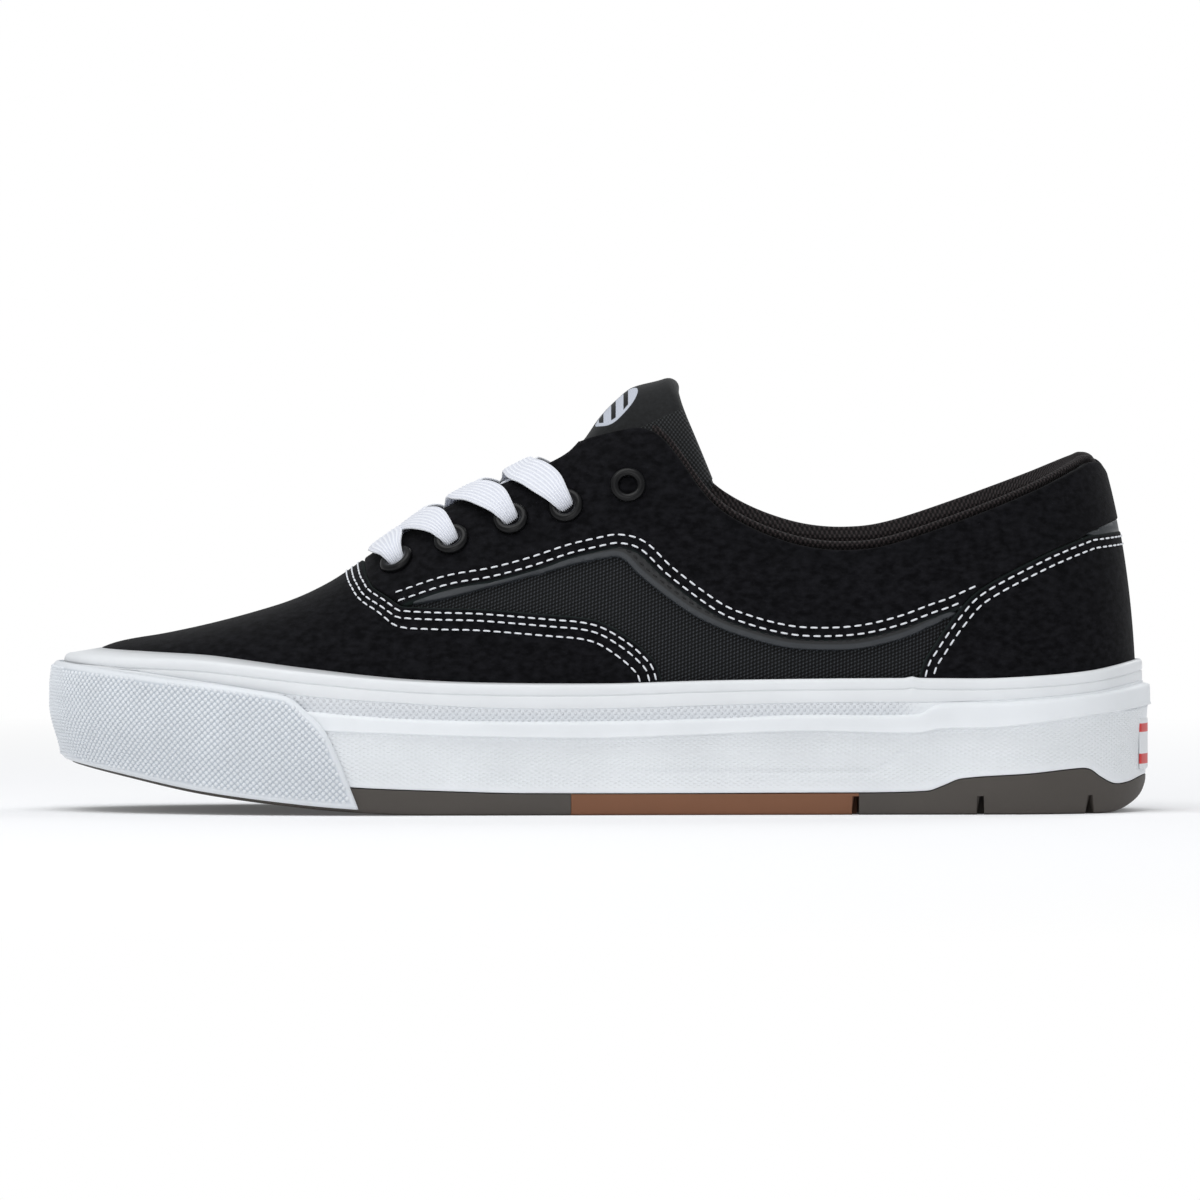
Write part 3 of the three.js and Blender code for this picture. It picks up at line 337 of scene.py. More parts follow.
def form_normal(turn, rise):
    """Outward direction of the form: across the steps round and up it, eased into the ridge's."""
    low, high = np.maximum(rise - 0.008, 0), np.minimum(rise + 0.008, 1)
    round_step = form_point(turn + 0.015, rise) - form_point(turn - 0.015, rise)
    up_step = form_point(turn, high) - form_point(turn, low)
    normal = unit(np.cross(up_step, round_step))
    x = form_point(turn, 1 + 0 * turn)[..., 0]
    slope = (crown_z(at_x(x + 2)) - crown_z(at_x(x - 2))) / 4
    ridge = unit(np.stack([-slope, 0 * x, 0 * x + 1], -1))
    return unit(mix(normal, ridge, smooth(rise, 0.95, 1)[..., None]))


def grown(turn, rise, offset):
    """The form's point, moved out along its normal."""
    return form_point(turn, rise) + form_normal(turn, rise) * np.asarray(offset, float)[..., None]


# Outlines and distances to them

def curve(rows, height=BACK_HEIGHT, lift=0.0, steps=10):
    """A smooth line through side-view rows: a Catmull-Rom curve, in x and z."""
    p = np.array([(x_at(at), up * height + lift) for at, up in rows])
    p = np.vstack([2 * p[0] - p[1], p, 2 * p[-1] - p[-2]])
    t = np.arange(steps)[:, None] / steps

    def part(a, b, c, d):
        square, cube = 2 * a - 5 * b + 4 * c - d, 3 * b - a - 3 * c + d
        return 0.5 * (2 * b + (c - a) * t + square * t**2 + cube * t**3)

    parts = [part(*four) for four in zip(p[:-3], p[1:-2], p[2:-1], p[3:])]
    return np.vstack([*parts, p[-2:-1]])


def corner(at, z):
    return np.array([[x_at(at), z]])


def inside(points, polygon):
    """Signed distance to a closed outline, more than 0 inside it: the nearest of its sides."""
    a, b = polygon, np.roll(polygon, -1, 0)
    best = np.full(len(points), 1e9)
    crossings = np.zeros(len(points), int)
    for (ax, ay), (bx, by) in zip(a, b):
        dx, dy = bx - ax, by - ay
        px, py = points[:, 0] - ax, points[:, 1] - ay
        t = np.clip((px * dx + py * dy) / max(dx * dx + dy * dy, 1e-12), 0, 1)
        best = np.minimum(best, np.hypot(px - t * dx, py - t * dy))
        if ay != by:
            spans = (ay > points[:, 1]) != (by > points[:, 1])
            crossings += spans & (px < (points[:, 1] - ay) * dx / dy)
    return np.where(crossings % 2 == 1, best, -best)


# Places well outside the shoe, where outlines close: a height, and shares past heel and toe
HIGH = BACK_HEIGHT * 2
BEHIND, AHEAD = -0.1, 1.1


def to_heel(rows, level, lift=0.0):
    """The outline between a line that runs back to the heel and a level."""
    line = curve(rows, lift=lift)
    return np.vstack([line, corner(BEHIND, line[-1, 1]), corner(BEHIND, level), corner(rows[0][0], level)])


def side_view(p, rising=False):
    """Points as the side view shows them, with the inner side's higher collar brought down."""
    z = p[:, 2]
    if rising:
        climb = mix(INNER_RISE, -0.01, smooth(at_x(p[:, 0]), 0.44, 0.51))
        z = z - BACK_HEIGHT * climb * np.maximum(p[:, 1], 0) / half_width(np.array(0.3), INNER)
    return np.stack([p[:, 0], z], 1)


def under_topline(p, lift=0.0):
    """Distance under the collar's top edge."""
    return -inside(side_view(p, True), to_heel(TOPLINE, HIGH, lift))


def slot_half(at, side):
    """Half the throat's width on one side, from above."""
    ridge_to_foot = half_width(at, side) - FEATHER - side * (ridge_line(at) - foot_line(at))
    return along(THROAT, "half", at) * ridge_to_foot


def beside_throat(p):
    """Distance from the throat, from above."""
    at = np.linspace(THROAT["at"][0], THROAT["at"][-1], 60)
    outer, inner = (
        np.stack([x_at(at), ridge_line(at) + side * slot_half(at, side)], 1) for side in (OUTER, INNER)
    )
    return -inside(p[:, :2], np.vstack([outer, inner[::-1]]))


def heel_region(p, rows):
    """Distance inside what lies under a line that runs back to the heel."""
    return inside(side_view(p), to_heel(rows, 0))


def over_line(p, rows):
    """Distance inside what lies over a line that runs back to the heel."""
    return inside(side_view(p), to_heel(rows, HIGH))


def quarter_region(p):
    return over_line(p, QUARTER_EDGE)


def trim_region(p):
    return over_line(p, TRIM_EDGE)


def vamp_region(p):
    """Distance inside what lies ahead of the vamp's edge."""
    line = curve(VAMP_EDGE)
    ends = np.vstack([[[line[-1, 0], 0]], corner(AHEAD, 0), corner(AHEAD, HIGH), [[line[0, 0], HIGH]]])
    return inside(side_view(p), np.vstack([line, ends]))


# Meshes

def show(name, data):
    """An object for that data, in the scene."""
    shown = bpy.data.objects.new(name, data)
    bpy.context.scene.collection.objects.link(shown)
    return shown


def piece(name, points, faces, finish, slot, replaced=(), uv=None, pad=None, marks=None,
          crisp=None):
    """A mesh object from points in millimetres, riding on the shoe.

    marks are named values for each point, which a finish can read. Edges sharper than crisp
    degrees are shaded as edges.
    """
    mesh = bpy.data.meshes.new(name)
    mesh.from_pydata((np.asarray(points) * MM).tolist(), [], np.asarray(faces).tolist())
    if uv is not None:
        layer = mesh.uv_layers.new(name="cloth")
        layer.data.foreach_set("uv", (uv[np.asarray(faces).ravel()] * MM).ravel())
    for key, values in (marks or {}).items():
        mesh.attributes.new(key, "FLOAT", "POINT").data.foreach_set("value", np.asarray(values, float))
    mesh.polygons.foreach_set("use_smooth", [True] * len(mesh.polygons))
    if crisp:
        mesh.set_sharp_from_angle(angle=math.radians(crisp))
    mesh.materials.append(finish)
    mesh.update()
    shown = show(name, mesh)
    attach(shown, "root")
    if replaced:
        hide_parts(*replaced)
    return shown


def patch(turns, rises):
    """A grid of turns and rises as corners, and its triangles, facing outwards."""
    turn, rise = np.meshgrid(turns, rises, indexing="ij")
    column, row = np.meshgrid(np.arange(len(turns) - 1), np.arange(len(rises) - 1), indexing="ij")
    a = (column * len(rises) + row).ravel()
    b = a + len(rises)
    tris = np.vstack([np.stack([a, a + 1, b + 1], 1), np.stack([a, b + 1, b], 1)])
    return np.stack([turn.ravel(), rise.ravel()], 1), tris


def split(spots, tris, depth, level):
    """Cuts the triangles along the line where depth is level, without taking any away."""
    deep = depth > level
    count = deep[tris].sum(1)
    mixed = (count == 1) | (count == 2)
    if not mixed.any():
        return spots, tris, depth
    cut = tris[mixed]
    lone = np.argmax(deep[cut] == (count[mixed] == 1)[:, None], axis=1)
    rows = np.arange(len(cut))
    a, b, c = (cut[rows, (lone + k) % 3] for k in range(3))
    pairs = np.sort(np.vstack([np.stack([a, b], 1), np.stack([a, c], 1)]), axis=1)
    edges, back = np.unique(pairs, axis=0, return_inverse=True)
    back = back.ravel()
    low, high = depth[edges[:, 0]], depth[edges[:, 1]]
    share = ((level - low) / (high - low))[:, None]
    fresh = spots[edges[:, 0]] * (1 - share) + spots[edges[:, 1]] * share
    ab, ac = len(spots) + back[: len(cut)], len(spots) + back[len(cut):]
    parts = [np.stack([a, ab, ac], 1), np.stack([ab, b, c], 1), np.stack([ab, c, ac], 1)]
    spots = np.vstack([spots, fresh])
    return spots, np.vstack([tris[~mixed], *parts]), np.append(depth, np.full(len(edges), float(level)))


def carve(spots, tris, depth, levels):
    """Keeps what has a depth over 0, cut along its edge and along each level."""
    for level in (0, *levels):
        spots, tris, depth = split(spots, tris, depth, level)
        if level == 0:
            tris = tris[depth[tris].mean(1) > 0]
    return spots, tris, depth


def weld(points, tris, *more):
    """Joins corners that lie in one place, and drops what isn't used."""
    _, first, back = np.unique(np.round(points, 4), axis=0, return_index=True, return_inverse=True)
    tris = back.ravel()[tris]
    whole = (tris[:, 0] != tris[:, 1]) & (tris[:, 1] != tris[:, 2]) & (tris[:, 2] != tris[:, 0])
    used, tris = np.unique(tris[whole], return_inverse=True)
    return tris.reshape(-1, 3), *(each[first][used] for each in more)


def region(turns, rises, reach, levels=()):
    """The part of the form where reach is more than 0, cut along its edge and along each level."""
    spots, tris = patch(turns, rises)
    spots, tris, depth = carve(spots, tris, reach(form_point(*spots.T)), levels)
    tris, spots, depth = weld(form_point(*spots.T), tris, spots, depth)
    return spots, tris, depth


def shell(top, bottom, tris):
    """A closed wall: the top, the bottom turned over, and a strip round every open edge."""
    edges = np.vstack([tris[:, [0, 1]], tris[:, [1, 2]], tris[:, [2, 0]]])
    _, index, count = np.unique(np.sort(edges, axis=1), axis=0, return_index=True, return_counts=True)
    a, b = edges[index[count == 1]].T
    n = len(top)
    strip = np.vstack([np.stack([b, a, a + n], 1), np.stack([b, a + n, b + n], 1)])
    return np.vstack([top, bottom]), np.vstack([tris, tris[:, ::-1] + n, strip])


ROUND_TURNS = np.linspace(0, 2 * np.pi, 2001)
ROUND_PATH = np.append(0, np.cumsum(np.linalg.norm(np.diff(outline(ROUND_TURNS), axis=0), axis=1)))


def cloth_uv(spots, points):
    """Length round the sole and height, in millimetres, for a weave that follows the panel."""
    return np.stack([np.interp(spots[:, 0] % (2 * np.pi), ROUND_TURNS, ROUND_PATH), points[:, 2]], 1)


def rounded(depth, radius):
    """Share of an edge's full height: a quarter circle over its first millimetres."""
    return np.sqrt(np.clip(1 - (1 - np.clip(depth / radius, 0, 1)) ** 2, 0, 1))


def panel(name, turns, rises, reach, low, high, finish, slot, replaced, edge=0.6, puff=None,
          raw=None):
    """A layer of the upper between two offsets, its outer edge rounded, and fuller by puff.

    raw gives the distance to an edge that the finish paints paler: the suede's own cut edge, and on the
    trim a painted highlight.
    """
    spots, tris, depth = region(turns, rises, reach, (edge * 0.12, edge * 0.45, edge))
    turn, rise = spots.T
    points = form_point(turn, rise)
    more = puff(points) if puff else 0.0
    top = grown(turn, rise, low + (high - low) * rounded(depth, edge) + more)
    bottom = grown(turn, rise, low - 0.15)
    uv = np.vstack([cloth_uv(spots, points)] * 2)
    cut = raw(points) if raw else depth
    marks = {"edge": np.append(cut, cut)}
    return piece(name, *shell(top, bottom, tris), finish, slot, replaced, uv=uv, marks=marks)


def pillow(name, turns, rises, reach, outer, inner, finish, slot, replaced, roll=0.0, thin=None):
    """A padded layer between two offsets: both faces curl in to meet in a half round edge.

    roll leans that edge outwards, and thin gives the share of its thickness left at each point.
    """
    radius = (outer - inner) / 2
    levels = [radius * share for share in (0.03, 0.12, 0.3, 0.65, 1.0)]
    spots, tris, depth = region(turns, rises, reach, levels)
    turn, rise = spots.T
    share = thin(form_point(turn, rise)) if thin else 1.0
    half = radius * share * rounded(depth, radius)
    middle = outer - radius * share + roll * (1 - smooth(depth, 0.8, 2.8))
    top, bottom = grown(turn, rise, middle + half), grown(turn, rise, middle - half)
    uv = np.vstack([cloth_uv(spots, form_point(turn, rise))] * 2)
    return piece(name, *shell(top, bottom, tris), finish, slot, replaced, uv=uv, pad=0.8)


def skin(count, around, hollow=False):
    """Faces between rings of points, the last ring joined to the first too if it is hollow."""
    j, k = np.meshgrid(np.arange(count if hollow else count - 1), np.arange(around), indexing="ij")
    low, high, following = j * around, (j + 1) % count * around, (k + 1) % around
    return np.stack([low + k, high + k, high + following, low + following], -1).reshape(-1, 4)


def halves(faces):
    """Each four-sided face as two triangles."""
    return np.vstack([faces[:, [0, 1, 2]], faces[:, [0, 2, 3]]])


def capped(count, around, cap):
    """The skin as triangles, with a cap on its first ring and the cap turned over on its last."""
    return np.vstack([halves(skin(count, around)), cap, cap[:, ::-1] + (count - 1) * around])


def round_ring(centre, across, up, radius, sides, flat=1.0):
    """A ring of points round each centre, in the plane of two directions."""
    angle = np.linspace(0, 2 * np.pi, sides, endpoint=False)[:, None]
    turned = np.cos(angle) * across[:, None] + flat * np.sin(angle) * up[:, None]
    return centre[:, None] + radius * turned


def repeated(faces, count, size):
    """The faces of one small body, for many such bodies of that many points."""
    return (faces[None] + np.arange(count)[:, None, None] * size).reshape(-1, faces.shape[1])


def fan(around):
    """A ring's cap, all its triangles from one corner."""
    return np.stack([np.zeros(around - 2, int), np.arange(1, around - 1), np.arange(2, around)], 1)


def ladder(around):
    """A ring's cap, closed rung by rung across the shoe."""
    k = np.arange(1, around // 2)
    rungs = np.stack([k, k + 1, around - k - 1, around - k], 1)
    tris = np.vstack([[[0, 1, around - 1]], halves(rungs)])
    return tris[tris[:, 1] != tris[:, 2]]


def loft(rings, hollow=False):
    """A closed body through rings of equally many points, its ends closed across the shoe."""
    rings = np.asarray(rings)
    count, around = rings.shape[:2]
    faces = halves(skin(count, around, True)) if hollow else capped(count, around, ladder(around))
    return rings.reshape(-1, 3), faces


# Finishes

class Finish:
    """A procedural material being put together: its nodes, links and shader."""

    def __init__(self, name, color, roughness, **shader):
        self.material = bpy.data.materials.new(name)
        self.material.use_nodes = True
        self.nodes = self.material.node_tree.nodes
        self.links = self.material.node_tree.links
        self.shader = self.nodes["Principled BSDF"]
        self.shader.inputs["Base Color"].default_value = (*color, 1)
        self.shader.inputs["Roughness"].default_value = roughness
        for key, value in shader.items():
            self.shader.inputs[key.replace("_", " ")].default_value = value
        self.place = self.nodes.new("ShaderNodeTexCoord")
        self.height = None

    def math(self, operation, a, b=0.0, clamp=False):
        node = self.nodes.new("ShaderNodeMath")
        node.operation = operation
        node.use_clamp = clamp
        for socket, value in zip(node.inputs, (a, b)):
            if isinstance(value, (int, float)):
                socket.default_value = value
            else:
                self.links.new(value, socket)
        return node.outputs[0]

    def plus(self, a, b):
        return self.math("ADD", a, b)

    def minus(self, a, b, clamp=False):
        return self.math("SUBTRACT", a, b, clamp)

    def times(self, a, b, clamp=False):
        return self.math("MULTIPLY", a, b, clamp)

    def past(self, value, limit, steep):
        """A mask that is 0 up to a limit and then climbs to 1, as steeply as that."""
        return self.times(self.minus(value, limit), steep, clamp=True)

    def mark(self, name):
        """A named value that the mesh carries at each point."""
        node = self.nodes.new("ShaderNodeAttribute")
        node.attribute_name = name
        return node.outputs["Fac"]

    def axes(self, source="Object"):
        split_node = self.nodes.new("ShaderNodeSeparateXYZ")
        self.links.new(self.place.outputs[source], split_node.inputs[0])
        return split_node.outputs

    def noise(self, scale, detail, stretch=(1, 1, 1)):
        mapping = self.nodes.new("ShaderNodeMapping")
        mapping.inputs["Scale"].default_value = stretch
        self.links.new(self.place.outputs["Object"], mapping.inputs[0])
        node = self.nodes.new("ShaderNodeTexNoise")
        node.inputs["Scale"].default_value = scale
        node.inputs["Detail"].default_value = detail
        self.links.new(mapping.outputs[0], node.inputs["Vector"])
        return node.outputs["Fac"]

    def lattice(self, source, pitch_u, pitch_v, turn=0.0, sharp=1.0):
        """Small bumps in rows: the product of two waves, turned by an angle."""
        u, v = self.axes(source)[:2]
        c, s = math.cos(turn), math.sin(turn)
        along_u = self.plus(self.times(u, c), self.times(v, s))
        along_v = self.minus(self.times(v, c), self.times(u, s))
        wave_u = self.math("SINE", self.times(along_u, 2 * math.pi / (pitch_u * MM)))
        wave_v = self.math("SINE", self.times(along_v, 2 * math.pi / (pitch_v * MM)))
        product = self.times(wave_u, wave_v)
        return self.times(self.plus(product, 1 - 1 / sharp), 0.5 * sharp, clamp=True)

    def bump(self, height, depth, strength=1.0):
        """Adds a relief of that depth, in millimetres."""
        node = self.nodes.new("ShaderNodeBump")
        node.inputs["Distance"].default_value = depth * MM
        node.inputs["Strength"].default_value = strength
        self.links.new(height, node.inputs["Height"])
        if self.height is not None:
            self.links.new(self.height, node.inputs["Normal"])
        self.height = node.outputs[0]
        self.links.new(self.height, self.shader.inputs["Normal"])

    def tint(self, value, low, high, colors):
        """Colours the surface by a value from low to high."""
        ramp = self.nodes.new("ShaderNodeValToRGB")
        ramp.color_ramp.elements[0].position = low
        ramp.color_ramp.elements[1].position = high
        for element, color in zip(ramp.color_ramp.elements, colors):
            element.color = (*color, 1)
        self.links.new(value, ramp.inputs[0])
        self.links.new(ramp.outputs[0], self.shader.inputs["Base Color"])

    def blend(self, mask, color):
        """Paints a colour over what the base colour is, by a mask from 0 to 1."""
        node = self.nodes.new("ShaderNodeMix")
        node.data_type = "RGBA"
        base = self.shader.inputs["Base Color"]
        if base.links:
            self.links.new(base.links[0].from_socket, node.inputs[6])
        else:
            node.inputs[6].default_value = base.default_value
        node.inputs[7].default_value = (*color, 1)
        self.links.new(mask, node.inputs[0])
        self.links.new(node.outputs[2], base)

    def uneven(self, value, low, high):
        """Lets the roughness wander between low and high with a value."""
        span = self.plus(self.times(value, high - low), low)
        self.links.new(span, self.shader.inputs["Roughness"])


def suede_finish():
    """Napped leather with a paler cut edge."""
    f = Finish("suede", (0.004, 0.004, 0.005), 0.95, Sheen_Weight=0.03, Sheen_Roughness=0.4,
               Specular_IOR_Level=0.1)
    nap = f.noise(420, 4, (1, 1, 1.6))
    f.tint(nap, 0.35, 0.7, ((0.0018, 0.0018, 0.0025), (0.0085, 0.0085, 0.0105)))
    rim = f.minus(1.35, f.times(f.mark("edge"), 1.9), clamp=True)
    f.blend(rim, (0.013, 0.019, 0.018))
    f.bump(f.noise(2600, 3), 0.12, 0.7)
    f.bump(nap, 0.18, 0.5)
    return f.material


def textile_finish():
    """A close weave that follows the panel, its raised cells painted lighter: partly lighter thread, partly
    a painted highlight.
    """
    f = Finish("textile", (0.012, 0.013, 0.015), 0.8, Sheen_Weight=0.02, Specular_IOR_Level=0.22)
    cells = f.lattice("UV", 1.08, 1.65, 0.62, sharp=1.3)
    # The raised cells are painted lighter, partly as thread colour and partly as painted highlight.
    f.tint(cells, 0.05, 0.7, ((0.0008, 0.0009, 0.0011), (0.046, 0.05, 0.057)))
    f.bump(cells, 0.5, 1.0)
    f.bump(f.noise(3000, 2), 0.06, 0.5)
    return f.material


def lining_finish():
    """An open knit: rows of small holes between lighter threads."""
    f = Finish("lining", (0.02, 0.014, 0.015), 0.9, Sheen_Weight=0.05, Specular_IOR_Level=0.2)
    cells = f.lattice("UV", 1.3, 1.9, sharp=1.7)
    f.tint(cells, 0.1, 0.9, ((0.0028, 0.002, 0.0022), (0.034, 0.025, 0.0258)))
    f.bump(cells, 0.5, 0.9)
    f.bump(f.noise(2500, 2), 0.08, 0.5)
    return f.material


def tongue_finish():
    """Knit at the sides, a smooth cloth at the top, and a plain printed badge on that."""
    f = Finish("tongue_cloth", (0.01, 0.011, 0.012), 0.8, Sheen_Weight=0.05, Specular_IOR_Level=0.25)
    cells = f.lattice("UV", 1.1, 1.4, sharp=1.7)
    x, y, z = f.axes()[:3]
    line = f.plus(f.times(f.minus(x, KNIT_X * MM), KNIT_SLOPE), KNIT_Z * MM)
    above = f.past(z, line, 1 / (KNIT_BLUR * MM))
    plain = f.noise(900, 3)
    knit = f.times(cells, f.minus(1.0, above))
    f.tint(f.plus(knit, f.times(above, f.times(plain, 0.42))), 0.05, 0.9,
           ((0.001, 0.0011, 0.0013), (0.029, 0.032, 0.035)))
    u = f.math("DIVIDE", f.minus(x, BADGE_X * MM), BADGE_LONG * MM)
    v = f.math("DIVIDE", f.minus(y, BADGE_Y * MM), BADGE_WIDE * MM)
    radius = f.plus(f.times(u, u), f.times(v, v))
    disc = f.past(1.0, radius, 20)
    bars = f.times(f.plus(f.math("SINE", f.times(u, 11)), 0.45), 6, clamp=True)
    rim = f.past(radius, 0.72, 20)
    print_mask = f.times(disc, f.math("MAXIMUM", bars, rim))
    f.blend(print_mask, (0.5, 0.53, 0.6))
    f.bump(knit, 0.45, 0.9)
    f.bump(f.noise(2500, 2), 0.06, 0.5)
    return f.material


def trim_finish():
    """Smooth grained leather, with a painted highlight along its lower edge."""
    f = Finish("trim", (0.012, 0.013, 0.015), 0.4, Specular_IOR_Level=0.4)
    grain = f.noise(1400, 3)
    f.tint(grain, 0.3, 0.7, ((0.004, 0.0045, 0.0055), (0.0085, 0.0095, 0.011)))
    # Painted highlight: the strip is painted paler within about 1.75 mm of its lower edge.
    rim = f.past(1.75, f.mark("edge"), 2.5)
    f.blend(rim, (0.026, 0.03, 0.035))
    f.uneven(grain, 0.34, 0.5)
    f.bump(grain, 0.08, 0.5)
    return f.material


def rubber_finish(name, color, roughness, hatch=0.0, studs=0.0, shade_between_studs=None):
    """Moulded rubber. hatch and studs are depths of relief, shown where the mesh's marks say so.

    shade_between_studs is a darker colour painted between the studs, as painted shade.
    """
    f = Finish(name, color, roughness, Specular_IOR_Level=0.35)
    cloud = f.noise(60, 3)
    dark = tuple(0.94 * c for c in color)
    f.tint(cloud, 0.3, 0.7, (dark, color))
    # Painted shade: a darker colour laid where the mesh's studs mark says, between the studs.
    if shade_between_studs:
        f.blend(f.mark("studs"), shade_between_studs)
    f.uneven(f.noise(700, 2), roughness - 0.06, roughness + 0.06)
    f.bump(f.noise(2200, 2), 0.03, 0.4)
    if hatch:
        net = f.lattice("UV", 2.1, 1.1)
        f.bump(f.times(net, f.mark("hatch")), hatch, 1.0)
    if studs:
        dots = f.times(f.lattice("UV", STUD_PITCH, STUD_PITCH), 2.0, clamp=True)
        f.bump(f.times(dots, f.mark("studs")), studs, 1.0)
    return f


def tab_finish():
    """Pale rubber with two plain red bars across it."""
    f = rubber_finish("tab_white", (0.8, 0.82, 0.84), 0.45)
    height = f.axes()[2]
    for low, high in TAB_BARS:
        over, under = f.past(height, low * MM, 8000), f.past(high * MM, height, 8000)
        f.blend(f.times(over, under), (0.62, 0.05, 0.05))
    return f.material


def lace_finish():
    """White braid, ribbed along its length."""
    f = Finish("lace", (0.8, 0.82, 0.88), 0.85, Sheen_Weight=0.1, Specular_IOR_Level=0.2)
    out = f.axes("UV")
    ribs = f.math("COSINE", f.times(out[0], 2 * math.pi / (LACE_RIB * MM)))
    knots = f.math("SINE", f.times(out[1], 2 * math.pi / (0.9 * MM)))
    f.tint(ribs, -1, 0.6, ((0.72, 0.74, 0.81), (0.85, 0.87, 0.92)))
    f.bump(f.times(ribs, knots), 0.03, 0.5)
    f.bump(f.noise(1500, 3), 0.05, 0.5)
    return f.material


def metal_finish():
    f = Finish("eyelet_metal", (0.003, 0.003, 0.0035), 0.26, Specular_IOR_Level=0.2, Coat_Weight=0.04)
    f.uneven(f.noise(900, 2), 0.22, 0.4)
    return f.material


def foam_finish():
    f = Finish("insole_cloth", (0.03, 0.03, 0.032), 0.9)
    cells = f.lattice("Object", 1.2, 1.2, 0.78, sharp=1.3)
    f.tint(cells, 0.1, 0.9, ((0.012, 0.012, 0.013), (0.04, 0.04, 0.042)))
    f.bump(cells, 0.3, 0.7)
    return f.material


def thread_finish(name, color):
    f = Finish(name, color, 0.75)
    f.bump(f.noise(4000, 2), 0.05, 0.5)
    return f.material


# The sole

SOLE_TURNS = np.linspace(0, 2 * np.pi, 721)[:-1]
SOLE_AT = share_of(SOLE_TURNS)


def at_height(p, z):
    """Points seen from above, given their heights."""
    return np.stack([p[..., 0], p[..., 1], np.broadcast_to(z, p.shape[:-1])], -1)


def ring(inset, height):
    """A ring round the sole's outline, moved in, at a height."""
    return at_height(wall(SOLE_TURNS, inset), height)


def toe_tuck(at):
    return TOE_TUCK * smooth(at, 0.8, 1)


def rise_at_height(turn, height):
    """How far up the form a height is reached."""
    return halve(lambda rise: form_point(turn, rise)[..., 2] < height, len(turn))


def on_form(height, offset):
    """A ring round the form at a height, grown by an offset."""
    return grown(SOLE_TURNS, rise_at_height(SOLE_TURNS, height), offset)


def make_midsole(finish):
    """The cup's wall: rows from the parting line to the foxing, with the proud band between.

    Each row is the sole's outline moved in by the row's inset, at the row's height. A shallow
    crease, a bell curve of the height, runs low on the outer side and turns up before the heel.
    The band's lower edge is a fine bead, and the strip over it is studded.
    """
    at = SOLE_AT
    low = SOLE_HEIGHT * along(PARTING, "up", at) + GAP / 2
    band_low, band_top = side_z("band_low", at), side_z("band_top", at)
    tape = side_z("tape_low", at)
    proud = -BAND_PROUD * (1 - 0.6 * smooth(at, 0.6, 0.72) - 0.4 * smooth(at, 0.742, 0.757))
    outer_side = smooth(np.sin(SOLE_TURNS), 0, 0.2)
    crease_z = CREASE_Z + CREASE_RISE * (1 - smooth(at, 0.222, 0.256))
    crease_fade = smooth(at, 0.212, 0.23) * (1 - smooth(at, 0.44, 0.5)) * outer_side
    rows, hatch, studs = [], [], []
    away = smooth(at, 0.0, 0.004)

    def add(inset, height, hatched=0.0, studded=0.0):
        rows.append(ring(inset, height))
        hatch.append(hatched * away)
        studs.append(studded * np.ones(len(at)))

    strip = smooth(at, 0.2, 0.235) * (1 - smooth(at, 0.79, 0.8))
    heel = 1 - smooth(at, 0, 0.035)
    for share in np.linspace(0, 1, 30):
        z = mix(low, band_low - 0.25, share)
        tuck = toe_tuck(at) * (1 - share) ** 1.5
        crease = CREASE_DEPTH * np.exp(-(((z - crease_z) / CREASE_WIDE) ** 2)) * crease_fade
        hollow = 0.3 * np.sin(np.pi * share) * (1 - smooth(at, 0.6, 0.75))
        inset = CUP_INSET + tuck * 0.6 + crease + hollow - 0.6 * heel * share
        add(inset, z, hatched=float(smooth(share, 0.02, 0.2)))
    for dz, share in BAND_LIP:
        add(mix(CUP_INSET, proud, share), band_low + dz)
    for share in (0.3, 0.6, 0.85):
        add(proud * (1 - 0.12 * share), mix(band_low + 0.7, band_top - 0.5, share))
    for dz, share in BAND_BACK:
        add(mix(proud * 0.88, FOXING - 0.25, share), band_top + dz)
    for height in (band_top + 0.25, mix(band_top, tape, 0.5), tape - 0.1):
        add(FOXING - 0.2, height, studded=strip)
    add(FOXING + 0.6, tape + 0.3)
    rows.append(on_form(tape + 0.3, 1.3))
    rows.append(on_form(board_z(at) + 0.4, 1.3))
    points, faces = loft(rows)
    rest = np.zeros(2 * len(at))
    marks = {"hatch": np.append(hatch, rest), "studs": np.append(studs, rest)}
    uv = np.stack([np.tile(np.interp(SOLE_TURNS, ROUND_TURNS, ROUND_PATH), len(rows)), points[:, 2]], 1)
    return piece("midsole_cup", points, faces, finish, "sole_white", ("midsole",), uv=uv, marks=marks)


def make_foxing(finish):
    """The tape round the upper: a ring with a rounded lip and a groove under it.

    Its rows are the sole's outline moved in, up to the lip, and then rings on the foot form. Where
    the tape's ends lap, a bell curve along the shoe lifts it.
    """
    low = side_z("tape_low", SOLE_AT)
    toe = smooth(SOLE_AT, 0.86, 0.97)
    inner_side = smooth(-np.sin(SOLE_TURNS), 0.0, 0.3)
    lap = np.exp(-(((x_at(SOLE_AT) - x_at(FOXING_LAP)) / 1.1) ** 2)) * (np.sin(SOLE_TURNS) > 0)
    top = side_z("tape_top", SOLE_AT) - 0.5 * smooth(SOLE_AT, 0.5, 0.7) - (0.85 + 0.75 * inner_side) * toe
    top = top + 0.45 * lap
    rows = [ring(FOXING + 0.5, low + 0.05), ring(FOXING + 0.1, low + 0.12), ring(FOXING, low + 0.4)]
    for dz, inset in TAPE_GROOVE:
        rows.append(ring(FOXING + inset - 0.3 * lap, top + dz))
    for dz, inset in TAPE_LIP:
        rows.append(ring(FOXING + inset * (1 + 1.4 * toe) - 0.3 * lap, top + dz * (1 + 0.6 * toe)))
    rows.append(on_form(top - 0.1, OVERLAY_OUT + 0.15))
    rows.append(on_form(top - 0.6, OVERLAY_OUT - 0.5))
    rows.append(on_form(low + 0.3, OVERLAY_OUT - 0.5))
    points, faces = loft(rows, hollow=True)
    return piece("foxing_tape", points, faces, finish, "foxing_white", ("foxing",))


